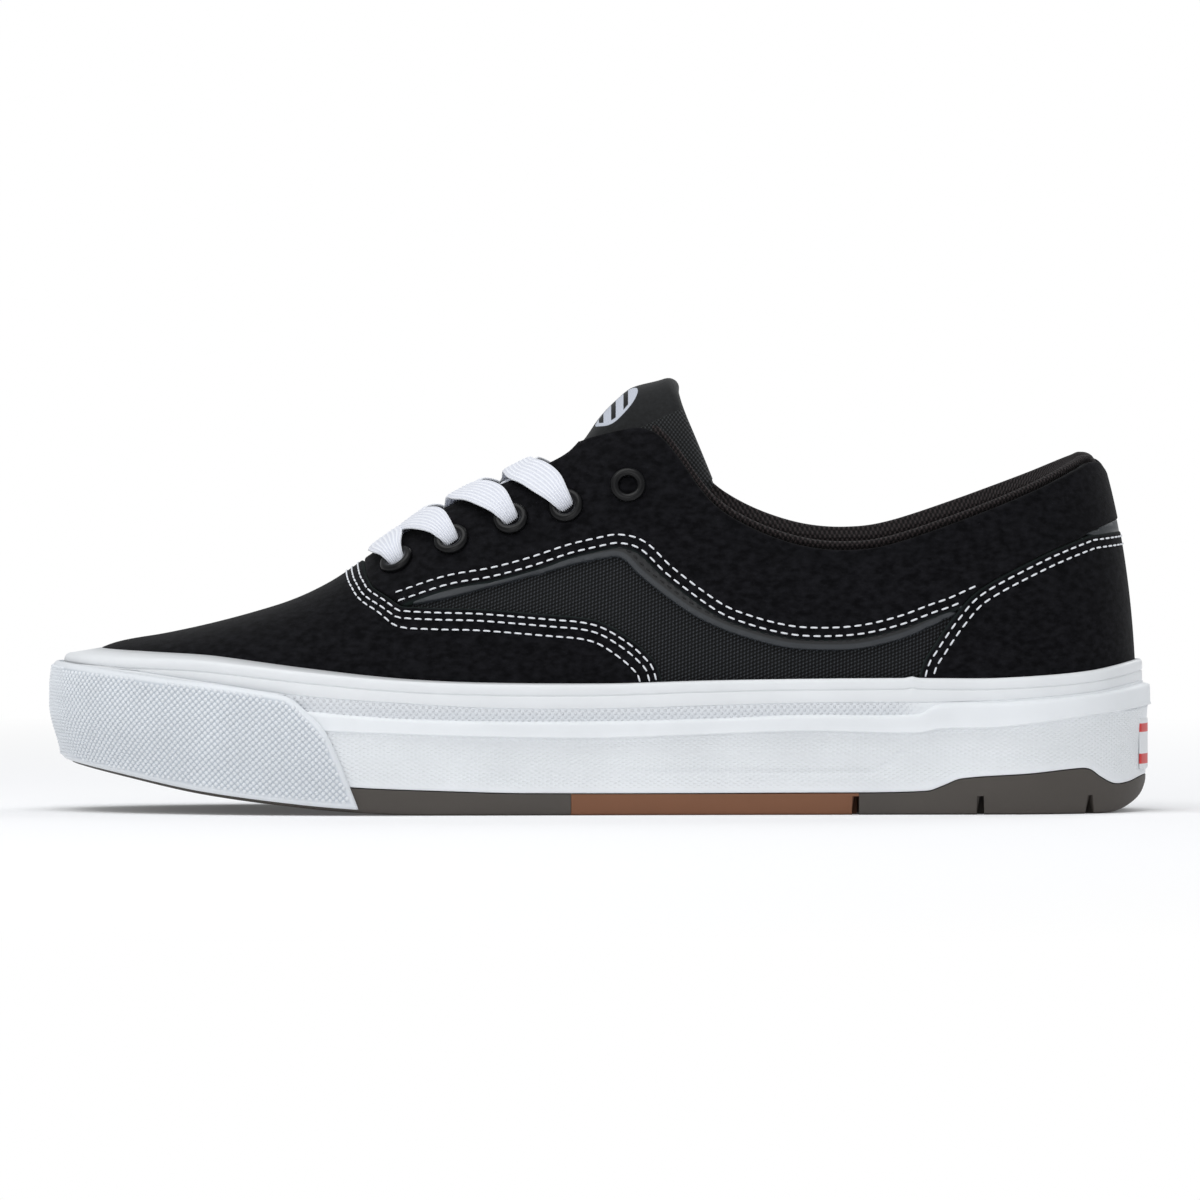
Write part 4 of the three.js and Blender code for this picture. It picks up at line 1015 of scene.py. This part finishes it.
def make_outsole(name, node, slot, finish, from_at, to_at, slots=()):
    """A stretch of the outsole: cross-sections from edge to edge, with grooves and side slots.

    A section runs down the wall, over a rounded edge and across the underside, whose height is
    raised by the lug depth wherever a groove crosses, and by the slot height in a side slot.
    """
    edges = []
    grooves = np.arange(x_at(LUG_FRONT), x_at(LUG_BACK), LUG_PITCH)
    arch = (x_at(ARCH_FRONT + 0.02), x_at(ARCH_BACK - 0.03))
    grooves = grooves[(grooves < arch[0]) | (grooves > arch[1] - 1)]
    for x, width in [(x, LUG_WIDTH) for x in grooves] + [(x_at(at), SLOT_WIDTH) for at in slots]:
        edges += [x + (end * width + step * CUT_STEP) / 2 for end in (-1, 1) for step in (-1, 1)]
    ends = turn_at(np.array([max(from_at, 0), min(to_at, 1)]))
    turns = np.linspace(*ends, 160)
    extra = turn_at(at_x(np.array(edges)))
    turns = np.unique(np.append(turns, extra[(extra > ends[0]) & (extra < ends[1])]))
    at = share_of(turns)
    floor = floor_z(at)
    parting = SOLE_HEIGHT * along(PARTING, "up", at) - GAP / 2
    parting = np.maximum(parting, floor + 0.3)
    tuck = toe_tuck(at)

    def half_section(sign):
        t = turns if sign < 0 else -turns
        rows = [(CUP_INSET + tuck, z, 0) for z in (parting, np.minimum(floor + 1.2, parting))]
        rows += [(inset + tuck, floor + up, 0) for inset, up in TREAD_BEVEL]
        rows += [(inset + tuck, floor, 0) for inset in TREAD_FLAT] + [(TREAD_GROOVED + tuck, floor, 1)]
        out = []
        for inset, z, centre in rows:
            p = wall(t, inset)
            x = p[:, 0]
            z = np.array(z, float)
            for cut in slots:
                near = (np.abs(x - x_at(cut)) < SLOT_WIDTH / 2) & (not centre)
                z = np.where(near, np.maximum(z, np.minimum(SLOT_HEIGHT, parting - 0.2)), z)
            in_groove = (np.abs(x[:, None] - grooves).min(1) < LUG_WIDTH / 2) & bool(centre)
            z = np.where(in_groove, z + LUG_DEPTH, z)
            out.append(at_height(p, z))
        return out

    outer, inner = half_section(OUTER), half_section(INNER)
    middle = [mix(outer[-1], inner[-1], share) for share in (0.25, 0.5, 0.75)]
    section = np.stack(outer + middle + inner[::-1], 1)
    count, around = section.shape[:2]
    faces = capped(count, around, fan(around))
    return piece(name, section.reshape(-1, 3), faces, finish, slot, (node,), crisp=35)


def make_insole(finish):
    """A foam slab on the footbed: rings of the outline moved in, its upper edge rounded."""
    inset = FEATHER + UPPER_WALL + GAP
    top = board_z(SOLE_AT) + GAP + INSOLE
    rows = [ring(inset, board_z(SOLE_AT) + GAP), ring(inset, top - 1.2), ring(inset + 0.4, top - 0.35)]
    rows += [ring(inset + 1.4, top), ring(inset + 6, top - 0.4)]
    points, faces = loft(rows)
    return piece("insole_pad", points, faces, finish, "insole_foam", ("insole",), pad=0.9)


BUMPER_START = turn_at(0.715)


def bumper_span(at):
    """The heights that the bumper reaches from and to."""
    return floor_z(at) + BUMPER_LOW, side_z("tape_low", at) + BUMPER_HIGH


def bumper_point(turn, share, out=0.0):
    """A point of the bumper: its turn, share of the height, and share of the thickness."""
    at = share_of(turn)
    z = mix(*bumper_span(at), share)
    body = BUMPER * (0.7 + 0.3 * smooth(share, 0, 0.5) - 0.35 * smooth(share, 0.6, 1.0) ** 2)
    return at_height(wall(turn, toe_tuck(at) * (1 - smooth(share, 0, 0.55)) - GAP - out * body), z)


def bumper_depth(points, share):
    """Distance inside the bumper's outline, which is open at its foot."""
    ends = np.vstack([corner(0.723, -5), corner(AHEAD, -5), corner(AHEAD, 50)])
    polygon = np.vstack([curve(BUMPER_TOP, SOLE_HEIGHT, steps=4), ends])
    return np.minimum(inside(side_view(points), polygon), share * 25 + 0.05)


def make_bumper(finish):
    """The toe bumper: the sole's outline moved out by its thickness, less towards its rounded edge."""
    turns = np.linspace(BUMPER_START, 2 * np.pi - BUMPER_START, 260)
    spots, tris = patch(turns, np.linspace(0, 1, 34))
    depth = bumper_depth(bumper_point(*spots.T), spots[:, 1])
    spots, tris, depth = carve(spots, tris, depth, (0.15, 0.5, 1.0, BUMPER_EDGE))
    tris, spots, depth = weld(bumper_point(*spots.T), tris, spots, depth)
    top = bumper_point(*spots.T, BUMPER_FACE * rounded(depth, BUMPER_EDGE))
    points, faces = shell(top, bumper_point(*spots.T), tris)
    marks = {"studs": smooth(np.append(depth, depth), 0.9, 1.8)}
    piece("toe_bumper_skin", points, faces, finish, "bumper_white", ("toe_bumper",), marks=marks)


def stud_places():
    """Turns and shares of the bumper's height for the studs.

    They stand in rows half a pitch apart, every other row moved along by half a pitch, and the
    rows follow the slope of the sole's upper lines.
    """
    row, column = np.meshgrid(np.arange(-40, 60), np.arange(600), indexing="ij")
    run = np.interp(BUMPER_START, ROUND_TURNS, ROUND_PATH) + (column + 0.5 * (row % 2)) * STUD_PITCH
    turn = np.interp(run, ROUND_PATH, ROUND_TURNS).ravel()
    at = share_of(turn)
    z = (row * STUD_PITCH / 2).ravel() + 0.9 * side_z("tape_low", at)
    low, high = bumper_span(at)
    share = (z - low) / (high - low)
    there = (share > 0.03) & (share < 0.97) & (turn < 2 * np.pi - BUMPER_START)
    turn, share = turn[there], share[there]
    clear = bumper_depth(bumper_point(turn, share), share) > STUD_CLEAR
    return turn[clear], share[clear]


def make_studs(finish):
    """Small domes on the bumper's face: rings round each stud's normal, closed to a point at both ends."""
    turn, share = stud_places()
    centre = bumper_point(turn, share, BUMPER_FACE)
    side = unit(bumper_point(turn + 0.002, share, BUMPER_FACE) - centre)
    normal = unit(np.cross(bumper_point(turn, share + 0.01, BUMPER_FACE) - centre, side))
    rings = [round_ring(centre + height * normal, side, np.cross(side, normal), radius, STUD_SIDES)
             for radius, height in STUD_RINGS]
    tips = np.stack([centre + STUD_TOP * normal, centre + STUD_FOOT * normal], 1)
    studs = np.concatenate([*rings, tips], 1)
    size = studs.shape[1]
    k = np.arange(STUD_SIDES)
    following, last = (k + 1) % STUD_SIDES, size - 2 - STUD_SIDES
    top = np.stack([last + k, 0 * k + size - 2, last + following], 1)
    foot = np.stack([k, following, 0 * k + size - 1], 1)
    faces = np.vstack([halves(skin(len(STUD_RINGS), STUD_SIDES)), top, foot])
    return piece("toe_bumper_studs", studs.reshape(-1, 3), repeated(faces, len(studs), size), finish,
                 "bumper_white", marks={"studs": np.zeros(size * len(studs))})


def make_heel_tab(finish):
    """A plain raised tab: the sole's outline at the heel, moved out, less towards its rounded edge."""
    turns = np.linspace(-0.75, 0.75, 120)
    heights = np.linspace(TAB_LOW * SOLE_HEIGHT, TAB_HIGH * SOLE_HEIGHT, 26)
    spots, tris = patch(turns, heights)

    def place(out):
        return at_height(wall(spots[:, 0], -GAP - out), spots[:, 1])

    across = TAB_HALF - np.abs(place(0)[:, 1] - foot_line(0))
    depth = np.minimum(across, np.minimum(spots[:, 1] - heights[0], heights[-1] - spots[:, 1]) + 1e-3)
    spots, tris, depth = carve(spots, tris, depth, (0.15, 0.5, TAB_EDGE))
    top = place(TAB * rounded(depth, TAB_EDGE) - TAB_SINK)
    points, faces = shell(top, place(-GAP - 0.2), tris)
    return piece("heel_tab_plate", points, faces, finish, "tab_white", ("heel_tab",))


# The upper

SIDE_TURNS = np.linspace(-2.35, 2.35, 480)
FULL_TURNS = np.linspace(0, 2 * np.pi, 481)
VAMP_TURNS = np.linspace(turn_at(0.36), 2 * np.pi - turn_at(0.36), 380)
RISES = np.linspace(0, 1, 90)


def make_upper(finish):
    """The textile wall: the foot form and the form moved in, cut at the topline and throat."""
    def reach(p):
        return np.minimum(under_topline(p), beside_throat(p))
    spots, tris, depth = region(FULL_TURNS, RISES[::2], reach, (0.25, UPPER_EDGE))
    turn, rise = spots.T
    worn = 0.3 * (1 - rounded(depth, UPPER_EDGE))
    points, faces = shell(grown(turn, rise, -worn), grown(turn, rise, worn - UPPER_WALL), tris)
    uv = np.vstack([cloth_uv(spots, form_point(turn, rise))] * 2)
    return piece("upper_textile", points, faces, finish, "textile", ("upper",), uv=uv)


def make_vamp(finish):
    """The form moved out, ahead of the vamp's edge and clear of the throat, fuller over the toes."""
    def reach(p):
        return np.minimum(vamp_region(p), beside_throat(p))
    def puff(p):
        return 0.45 * smooth(at_x(p[:, 0]), 0.9, 0.96) * smooth(p[:, 2], 33, 40)
    return panel("vamp_suede", VAMP_TURNS, RISES, reach, GAP, OVERLAY_OUT, finish, "suede", ("vamp",),
                 puff=puff, raw=vamp_region)


def make_quarters(finish):
    """The form moved out, over the quarter's edge and clear of the panels beside it by a tenth."""
    def reach(p):
        beside = [vamp_region(p), heel_region(p, COUNTER_EDGE), heel_region(p, HEEL_TRIM)]
        own = [quarter_region(p), under_topline(p), beside_throat(p)]
        return np.min([*own, *(-d - 0.1 for d in beside)], 0)
    return panel("quarter_suede", SIDE_TURNS, RISES, reach, GAP, OVERLAY_OUT, finish, "suede",
                 ("quarters",), raw=quarter_region)


def make_counter(finish):
    """The form moved out, under the counter's edge."""
    def reach(p):
        return heel_region(p, COUNTER_EDGE)
    turns = np.linspace(-1.2, 1.2, 280)
    return panel("counter_suede", turns, RISES[:70], reach, GAP, OVERLAY_OUT, finish, "suede",
                 ("heel_counter",))


def make_trims(finish):
    """The form moved out by less: strips between two lines under the suede, and a wedge at the heel."""
    def strip(p):
        line = np.vstack([curve(QUARTER_EDGE[2:], lift=1.0), curve(TRIM_EDGE)[::-1]])
        d = np.minimum(inside(side_view(p), line), -vamp_region(p) + 0.5)
        return np.minimum(d, -heel_region(p, COUNTER_EDGE) + 0.5)

    def wedge(p):
        return np.minimum(heel_region(p, HEEL_TRIM) + 0.5, -heel_region(p, COUNTER_EDGE) + 0.5)

    for name, turns in (("outer", np.linspace(0.8, 2.0, 260)), ("inner", np.linspace(-2.0, -0.8, 260))):
        panel(f"trim_strip_{name}", turns, RISES, strip, 0.0, GAP + TRIM, finish, "trim",
              (f"side_trim_{name}",), 0.4, raw=trim_region)
    turns = np.linspace(-0.7, 0.7, 160)
    panel("trim_wedge", turns, RISES, wedge, 0.0, GAP + TRIM, finish, "trim", ("heel_trim",), 0.4)


def make_lining(finish):
    """The form moved in: a pad from a line inside the shoe to a little over the topline."""
    def reach(p):
        return np.minimum(over_line(p, LINING_EDGE), under_topline(p, LINING_PROUD))
    def thin(p):
        return 1 - 0.75 * smooth(at_x(p[:, 0]), 0.35, 0.44)
    face = -UPPER_WALL - GAP
    turns = np.linspace(-1.7, 1.7, 360)
    pillow("collar_padding", turns, RISES, reach, face, face - LINING, finish, "lining", ("collar_lining",),
           roll=1.9, thin=thin)


def make_tongue(finish):
    """The form moved in: a pad under the throat, cut behind and below by two lines."""
    def reach(p):
        edge = np.vstack([curve(TONGUE_BACK, steps=5), curve(TONGUE_EDGE, steps=3)])
        ends = np.vstack([corner(0.74, HIGH), corner(TONGUE_BACK[0][0], HIGH)])
        return inside(side_view(p), np.vstack([edge, ends]))
    face = -UPPER_WALL - TONGUE_DROP
    turns = np.linspace(turn_at(0.3), 2 * np.pi - turn_at(0.3), 420)
    pillow("tongue_padding", turns, RISES, reach, face, face - TONGUE, finish, "tongue_cloth", ("tongue",))


# Eyelets, stitches and laces

def find_spot(side, at, met):
    """Turn and rise of the form's point at a share of the length, where met stops being true."""
    at = np.atleast_1d(np.asarray(at, float))
    turn = turn_at(at)
    for _ in range(12):
        here = turn if side == OUTER else 2 * np.pi - turn
        rise = halve(lambda middle: met(form_point(here, middle)), len(at))
        turn = turn_at(share_of(turn) + at - at_x(form_point(here, rise)[:, 0]))
    return (turn if side == OUTER else 2 * np.pi - turn), rise


def spot_at_height(side, at, z):
    """Turn and rise of the form's point at a share of the length and a height."""
    return find_spot(side, at, lambda p: p[:, 2] < z)


def slot_spot(side, at, share):
    """Turn and rise of a point beside the ridge, by a share of the throat's half width."""
    def outside(p):
        here = at_x(p[:, 0])
        return (p[:, 1] - ridge_line(here)) * side > slot_half(here, side) * share
    return find_spot(side, at, outside)


def lathe(profile, sides, centre, normal):
    """A profile of radius and height turned round a normal, closed on itself."""
    helper = np.array([1.0, 0, 0]) if abs(normal[0]) < 0.8 else np.array([0, 1.0, 0])
    across = unit(np.cross(normal, helper))
    other = np.cross(normal, across)
    angle = np.linspace(0, 2 * np.pi, sides, endpoint=False)
    radius, height = np.array(profile).T
    points = (centre + radius[None, :, None] * (np.cos(angle)[:, None, None] * across
              + np.sin(angle)[:, None, None] * other) + height[None, :, None] * normal)
    return points.reshape(-1, 3), skin(sides, len(profile), True)


def make_eyelets(finish):
    """A rolled rim, a half ellipse turned round the form's normal, with its barrel through the wall."""
    top = OVERLAY_OUT + EYELET_LIFT
    sweep = np.linspace(0, np.pi, 9)
    middle = (EYELET_RADIUS + EYELET_BORE) / 2
    half = (EYELET_RADIUS - EYELET_BORE) / 2
    dome = [(middle + half * math.cos(a), top - 0.45 + (EYELET_RIM + 0.35) * math.sin(a)) for a in sweep]
    barrel = [(EYELET_BORE, -UPPER_WALL), (EYELET_BORE + 0.5, -UPPER_WALL)]
    profile = [(EYELET_RADIUS - 0.1, top - 1.3), *dome, *barrel]
    for side, word in ((OUTER, "outer"), (INNER, "inner")):
        for number, (at, up) in enumerate(EYELETS, 1):
            turn, rise = spot_at_height(side, at, up * BACK_HEIGHT)
            centre, normal = form_point(turn, rise)[0], form_normal(turn, rise)[0]
            points, faces = lathe(profile[::-1], EYELET_SIDES, centre, normal)
            name = f"eyelet_{word}_{number}"
            piece(f"{name}_ring", points, faces, finish, "eyelet_metal", (name,))


def level_line(reach, turns, level):
    """The line on the form where reach is level, as turns and rises, in the order of turns."""
    def over(rise):
        return reach(form_point(turns, rise)) > level

    start = over(np.zeros(len(turns)))
    found = start != over(np.ones(len(turns)))
    rise = halve(lambda middle: over(middle) == start, len(turns))
    return turns[found], rise[found]


def stitch_rows(reach, turns, level, offset, pitch, length=2.1, radius=0.25, keep=None):
    """Stitches in even steps along the line where reach is level: capsules sunk at their ends."""
    turn, rise = level_line(reach, turns, level)
    path = grown(turn, rise, offset)
    steps = np.linalg.norm(np.diff(path, axis=0), axis=1)
    runs = np.split(np.arange(len(path)), np.flatnonzero(steps > 4) + 1)
    out = []
    for run in runs:
        span = np.append(0, np.cumsum(steps[run[:-1]]))
        if len(run) < 3 or span[-1] < 2 * pitch:
            continue
        marks = np.arange(pitch / 2, span[-1] - pitch / 2, pitch)

        def at(distance, values):
            return np.stack([np.interp(distance, span, column) for column in values.T], -1)

        centre = at(marks, path[run])
        spots = at(marks, np.stack([turn[run], rise[run]], 1))
        normal = form_normal(spots[:, 0], spots[:, 1])
        forward = unit(at(marks + length / 2, path[run]) - at(marks - length / 2, path[run]))
        across = np.cross(normal, forward)
        rings = [
            round_ring(centre + forward * reached * length + normal * lift, across, normal,
                       radius * wide, STITCH_SIDES, 0.8)
            for reached, wide, lift in STITCH_RINGS
        ]
        shown = keep(centre) if keep else np.ones(len(centre), bool)
        out.append(np.stack(rings, 1)[shown].reshape(shown.sum(), -1, 3))
    return np.vstack(out)


def join_stitches(name, groups, finish, slot):
    """All the stitches of one colour as one mesh: rings of points, their ends closed."""
    points = np.vstack(groups)
    faces = capped(len(STITCH_RINGS), STITCH_SIDES, fan(STITCH_SIDES))[:, ::-1]
    size = points.shape[1]
    return piece(name, points.reshape(-1, 3), repeated(faces, len(points), size), finish, slot)


def above_foxing(p):
    """Whether points are clear of the foxing's top edge."""
    return p[:, 2] > side_z("tape_top", at_x(p[:, 0])) - 0.5


def make_stitches(white, black):
    """White rows along the edges of the three suede parts, and a dark one on the trim."""
    high = OVERLAY_OUT + 0.05
    turns = np.linspace(0, 2 * np.pi, 3600)
    half_turns = turns - np.pi

    def on_quarter(p):
        clear = (vamp_region(p) < -1.2) & (heel_region(p, COUNTER_EDGE) < -1.2)
        return clear & (at_x(p[:, 0]) < 0.7) & (heel_region(p, HEEL_TRIM) < -1)

    def on_trim(p):
        at = at_x(p[:, 0])
        return (at < 0.66) & (at > 0.21)

    def on_counter(p):
        return heel_region(p, COUNTER_EDGE)

    def third_row(p):
        return vamp_region(p) - 0.9 * (1 - smooth(at_x(p[:, 0]), 0.675, 0.71))

    white_rows = (
        (quarter_region, half_turns, 1.5, 2.9, on_quarter),
        (quarter_region, half_turns, 3.7, 2.9, on_quarter),
        (on_counter, half_turns, 1.5, 2.9, above_foxing),
        (on_counter, half_turns, 3.6, 2.9, above_foxing),
        (vamp_region, turns, 1.5, 2.75, above_foxing),
        (vamp_region, turns, 3.3, 2.75, above_foxing),
        (third_row, turns, 4.9, 2.75, above_foxing),
    )
    groups = [
        stitch_rows(reach, around, level, high, pitch, keep=keep)
        for reach, around, level, pitch, keep in white_rows
    ]
    dark = [stitch_rows(trim_region, half_turns, 2.5, GAP + TRIM + 0.02, 2.4, 1.6, 0.22, on_trim)]
    join_stitches("white_stitches", groups, white, "lace")
    join_stitches("dark_stitches", dark, black, "trim")


def lace_section():
    """A flat lace's cross-section: ribs along both faces and rounded edges, of width and height 1."""
    across = np.linspace(-0.5, 0.5, LACE_SAMPLES)
    ribs = 0.86 + 0.14 * np.cos(2 * np.pi * across * LACE_WIDTH / LACE_RIB)
    half = 0.5 * np.sqrt(np.clip(1 - np.abs(2 * across) ** 5, 0, 1)) * ribs
    upper = np.stack([across, half], 1)[::-1]
    lower = np.stack([across, -half], 1)[1:-1]
    return np.vstack([upper, lower])


def ribbon(name, stops, finish, replaced=()):
    """A flat lace: its cross-section set across a smooth path, wide and thick as the stops say.

    A stop holds a point, a facing, a width and a thickness. A cubic runs through them, and each of
    its inner values is then averaged with its neighbours a few times.
    """
    values = np.array([[*s[0], *s[1], s[2], s[3]] for s in stops])
    gaps = np.linalg.norm(np.diff(values[:, :3], axis=0), axis=1)
    span = np.append(0, np.cumsum(np.sqrt(gaps)))
    fine = np.linspace(0, span[-1], LACE_STATIONS)
    line = np.stack([cubic(span, column, fine) for column in values.T], 1)
    for _ in range(LACE_EASING):
        line[1:-1] = 0.25 * line[:-2] + 0.5 * line[1:-1] + 0.25 * line[2:]
    path, facing, width, thick = line[:, :3], line[:, 3:6], line[:, 6], line[:, 7]
    run = unit(np.gradient(path, axis=0))
    across = unit(np.cross(run, facing))
    up = np.cross(across, run)
    section = lace_section()
    points = (path[:, None] + width[:, None, None] * section[None, :, :1] * across[:, None]
              + thick[:, None, None] * section[None, :, 1:] * up[:, None])
    count, around = points.shape[:2]
    length = np.append(0, np.cumsum(np.linalg.norm(np.diff(path, axis=0), axis=1)))
    uv = np.stack([np.tile(section[:, 0] * LACE_WIDTH, count), np.repeat(length, around)], 1)
    faces = capped(count, around, fan(around))
    return piece(name, points.reshape(-1, 3), faces, finish, "lace", replaced, uv=uv)


LACE_RIM = OVERLAY_OUT + EYELET_LIFT + EYELET_RIM + LACE_THICK / 2
LACE_REST = OVERLAY_OUT + 0.3 + LACE_THICK / 2


def stop(spot, height, wide=1.0, thick=1.0):
    """A place on a lace's path: its point and facing on the form, its width and thickness."""
    turn, rise = spot
    point, facing = grown(turn, rise, height)[0], form_normal(turn, rise)[0]
    return point, facing, wide * LACE_WIDTH, thick * LACE_THICK


def between(a, b, share):
    """The turn and rise part of the way from one spot to another."""
    return mix(a[0], b[0], share), mix(a[1], b[1], share)


def into_eyelet(place, edge, wide=1.0):
    """Stops from under the wall, up through an eyelet and over its rim, to the slot's edge."""
    return [
        stop(place, -UPPER_WALL - 1.6, 0.45, 1.9),
        stop(place, 0.9, 0.5, 2.0),
        stop(between(place, edge, 0.14), LACE_RIM + 0.3, 0.7, 1.6),
        stop(between(place, edge, 0.36), LACE_RIM + 0.5, 1.0 * wide, 1.15),
        stop(between(place, edge, 0.75), LACE_RIM - 0.3, 1.05 * wide, 1.0),
        stop(edge, LACE_REST + LACE_EDGE, 1.08 * wide, 1.0),
    ]


def make_laces(finish):
    """A bar over the lowest eyelets, and three pairs that cross over the tongue."""
    places = {
        (side, n): spot_at_height(side, at, up * BACK_HEIGHT)
        for side in (OUTER, INNER) for n, (at, up) in enumerate(EYELETS, 1)
    }
    at = EYELETS[0][0] + 2.5 * LACE_BOW / WALL_LENGTH
    ends = [into_eyelet(places[side, 1], slot_spot(side, at, 1), 1.15) for side in (OUTER, INNER)]
    middle = stop(slot_spot(OUTER, at, 0), LACE_REST + 0.2, 1.15)
    ribbon("lace_bar_ribbon", [*ends[0], middle, *ends[1][::-1]], finish, ("lace_bar",))
    for number in (1, 2, 3):
        low, high = EYELETS[number - 1][0], EYELETS[number][0]
        sink, slant = (number - 0.5) * LACE_SINK, 0.62 + 0.04 * number
        for side, word in ((OUTER, "outer"), (INNER, "inner")):
            ride = LACE_OVER if side == OUTER else LACE_UNDER
            under = places[-side, number]
            stops = [
                *into_eyelet(places[side, number + 1], slot_spot(side, mix(high, low, slant), 1)),
                stop(slot_spot(side, mix(high, low, slant + 0.12), 0.5), LACE_REST - 0.4 + ride - sink / 2),
                stop(slot_spot(side, mix(high, low, slant + 0.2), 0), LACE_THICK / 2 + ride - sink),
                stop(slot_spot(-side, mix(high, low, slant + 0.28), 0.76), -LACE_THICK / 2),
                stop(between(slot_spot(-side, mix(high, low, slant + 0.3), 1.15), under, 0.3), -2.3, 0.8),
                stop(under, -UPPER_WALL - 1.6, 0.5, 1.7),
            ]
            replaced = (f"lace_crossing_{number}",) if side == OUTER else ()
            ribbon(f"lace_{number}_{word}_ribbon", stops, finish, replaced)


# Camera, floor and light

# The floor in metres, and each light's size in metres, power in watts and place in metres
FLOOR_RADIUS, FLOOR_SIDES = 60.0, 64
LIGHTS = {
    "top_light": (1.0, 7.5, (-0.25, -0.35, 1.2)),
    "front_light": (0.8, 3.5, (-0.25, -1.5, 0.5)),
    "back_light": (0.8, 5, (0.7, 1.1, 0.9)),
}
LIGHT_AIM = (0, 0, 0.05)


def make_camera():
    """A level camera, aimed so that the point on the floor falls where the photograph has it."""
    look = np.array([0, math.cos(CAMERA_ELEVATION), -math.sin(CAMERA_ELEVATION)])
    up = np.array([0, math.sin(CAMERA_ELEVATION), math.cos(CAMERA_ELEVATION)])
    per_pixel = PIXEL / (1 - AIM[1] / CAMERA_DISTANCE)
    middle = AIM + up * (AIM_ROW - PICTURE / 2) * per_pixel
    middle = middle + np.array([(PICTURE / 2 - AIM_COLUMN) * per_pixel, 0, 0])
    data = bpy.data.cameras.new("photo_camera")
    data.lens = data.sensor_width * CAMERA_DISTANCE / (PICTURE * per_pixel)
    data.clip_end = 100
    camera = show("photo_camera", data)
    camera.location = Vector((middle - look * CAMERA_DISTANCE) * MM)
    camera.rotation_euler = (math.pi / 2 - CAMERA_ELEVATION, 0, 0)
    bpy.context.scene.camera = camera


def make_floor():
    """A pale round floor that turns into the bright surroundings away from the shoe, and glows faintly near
    it too: painted light that lightens the shoe's shadow.
    """
    angle = np.linspace(0, 2 * np.pi, FLOOR_SIDES, endpoint=False)
    rim = FLOOR_RADIUS * np.stack([np.cos(angle), np.sin(angle), 0 * angle], 1)
    mesh = bpy.data.meshes.new("floor")
    mesh.from_pydata(rim.tolist(), [], [list(range(FLOOR_SIDES))])
    floor = show("floor", mesh)
    f = Finish("floor_pale", (0.97, 0.97, 0.98), 0.9, Specular_IOR_Level=0.1)
    length = f.nodes.new("ShaderNodeVectorMath")
    length.operation = "LENGTH"
    f.links.new(f.place.outputs["Object"], length.inputs[0])
    # The floor glows at least a little everywhere: painted light that lifts the shadow under the shoe.
    glow_share = f.math("MAXIMUM", f.past(length.outputs["Value"], 0.25, 1.4), 0.08)
    glow = f.nodes.new("ShaderNodeEmission")
    blend = f.nodes.new("ShaderNodeMixShader")
    f.links.new(glow_share, blend.inputs[0])
    f.links.new(f.shader.outputs[0], blend.inputs[1])
    f.links.new(glow.outputs[0], blend.inputs[2])
    f.links.new(blend.outputs[0], f.nodes["Material Output"].inputs["Surface"])
    mesh.materials.append(f.material)


def area_light(name, size, power, place):
    data = bpy.data.lights.new(name, "AREA")
    data.size = size
    data.energy = power
    light = show(name, data)
    light.location = place
    light.rotation_euler = (Vector(LIGHT_AIM) - Vector(place)).to_track_quat("-Z", "Y").to_euler()


def make_light():
    """A soft sky that lights the shoe dimly but looks white, and three area lights."""
    world = bpy.data.worlds.new("studio")
    world.use_nodes = True
    nodes, links = world.node_tree.nodes, world.node_tree.links
    dim = nodes["Background"]
    dim.inputs["Color"].default_value = (0.96, 0.98, 1, 1)
    dim.inputs["Strength"].default_value = 0.52
    bright = nodes.new("ShaderNodeBackground")
    bright.inputs["Color"].default_value = (1, 1, 1, 1)
    bright.inputs["Strength"].default_value = 1.0
    seen = nodes.new("ShaderNodeLightPath")
    blend = nodes.new("ShaderNodeMixShader")
    links.new(seen.outputs["Is Camera Ray"], blend.inputs[0])
    links.new(dim.outputs[0], blend.inputs[1])
    links.new(bright.outputs[0], blend.inputs[2])
    links.new(blend.outputs[0], nodes["World Output"].inputs["Surface"])
    bpy.context.scene.world = world
    for name, values in LIGHTS.items():
        area_light(name, *values)
    bpy.context.scene.view_settings.view_transform = "Standard"


make_camera()
make_floor()
make_light()

suede = suede_finish()
lace = lace_finish()
# The sole's studded strip is painted darker between its studs, as painted shade.
sole_white = rubber_finish("sole_white", (0.84, 0.865, 0.89), 0.55, hatch=0.3, studs=0.3,
                           shade_between_studs=(0.72, 0.745, 0.78)).material
make_midsole(sole_white)
make_foxing(rubber_finish("foxing_white", (0.82, 0.84, 0.86), 0.42).material)
# The bumper's face is painted darker between its studs, as painted shade.
bumper_white = rubber_finish("bumper_white", (0.79, 0.82, 0.855), 0.42, shade_between_studs=(0.56, 0.6, 0.65)).material
make_bumper(bumper_white)
make_studs(bumper_white)
make_heel_tab(tab_finish())
dark = rubber_finish("outsole_dark", (0.075, 0.066, 0.058), 0.6).material
gum = rubber_finish("outsole_gum", (0.2, 0.085, 0.042), 0.6).material
joint = 0.05 / WALL_LENGTH
make_outsole("outsole_forefoot_tread", "outsole_forefoot", "outsole_dark", dark, ARCH_FRONT + joint, 1)
make_outsole("outsole_arch_insert", "outsole_arch", "outsole_gum", gum,
             ARCH_BACK + joint, ARCH_FRONT - joint, (ARCH_SLOT,))
make_outsole("outsole_heel_tread", "outsole_heel", "outsole_dark", dark, 0, ARCH_BACK - joint, SLOTS)
make_insole(foam_finish())
make_upper(textile_finish())
make_vamp(suede)
make_quarters(suede)
make_counter(suede)
make_trims(trim_finish())
make_lining(lining_finish())
make_tongue(tongue_finish())
make_eyelets(metal_finish())
white_thread = thread_finish("white_thread", (0.78, 0.8, 0.84))
make_stitches(white_thread, thread_finish("dark_thread", (0.004, 0.004, 0.005)))
make_laces(lace)
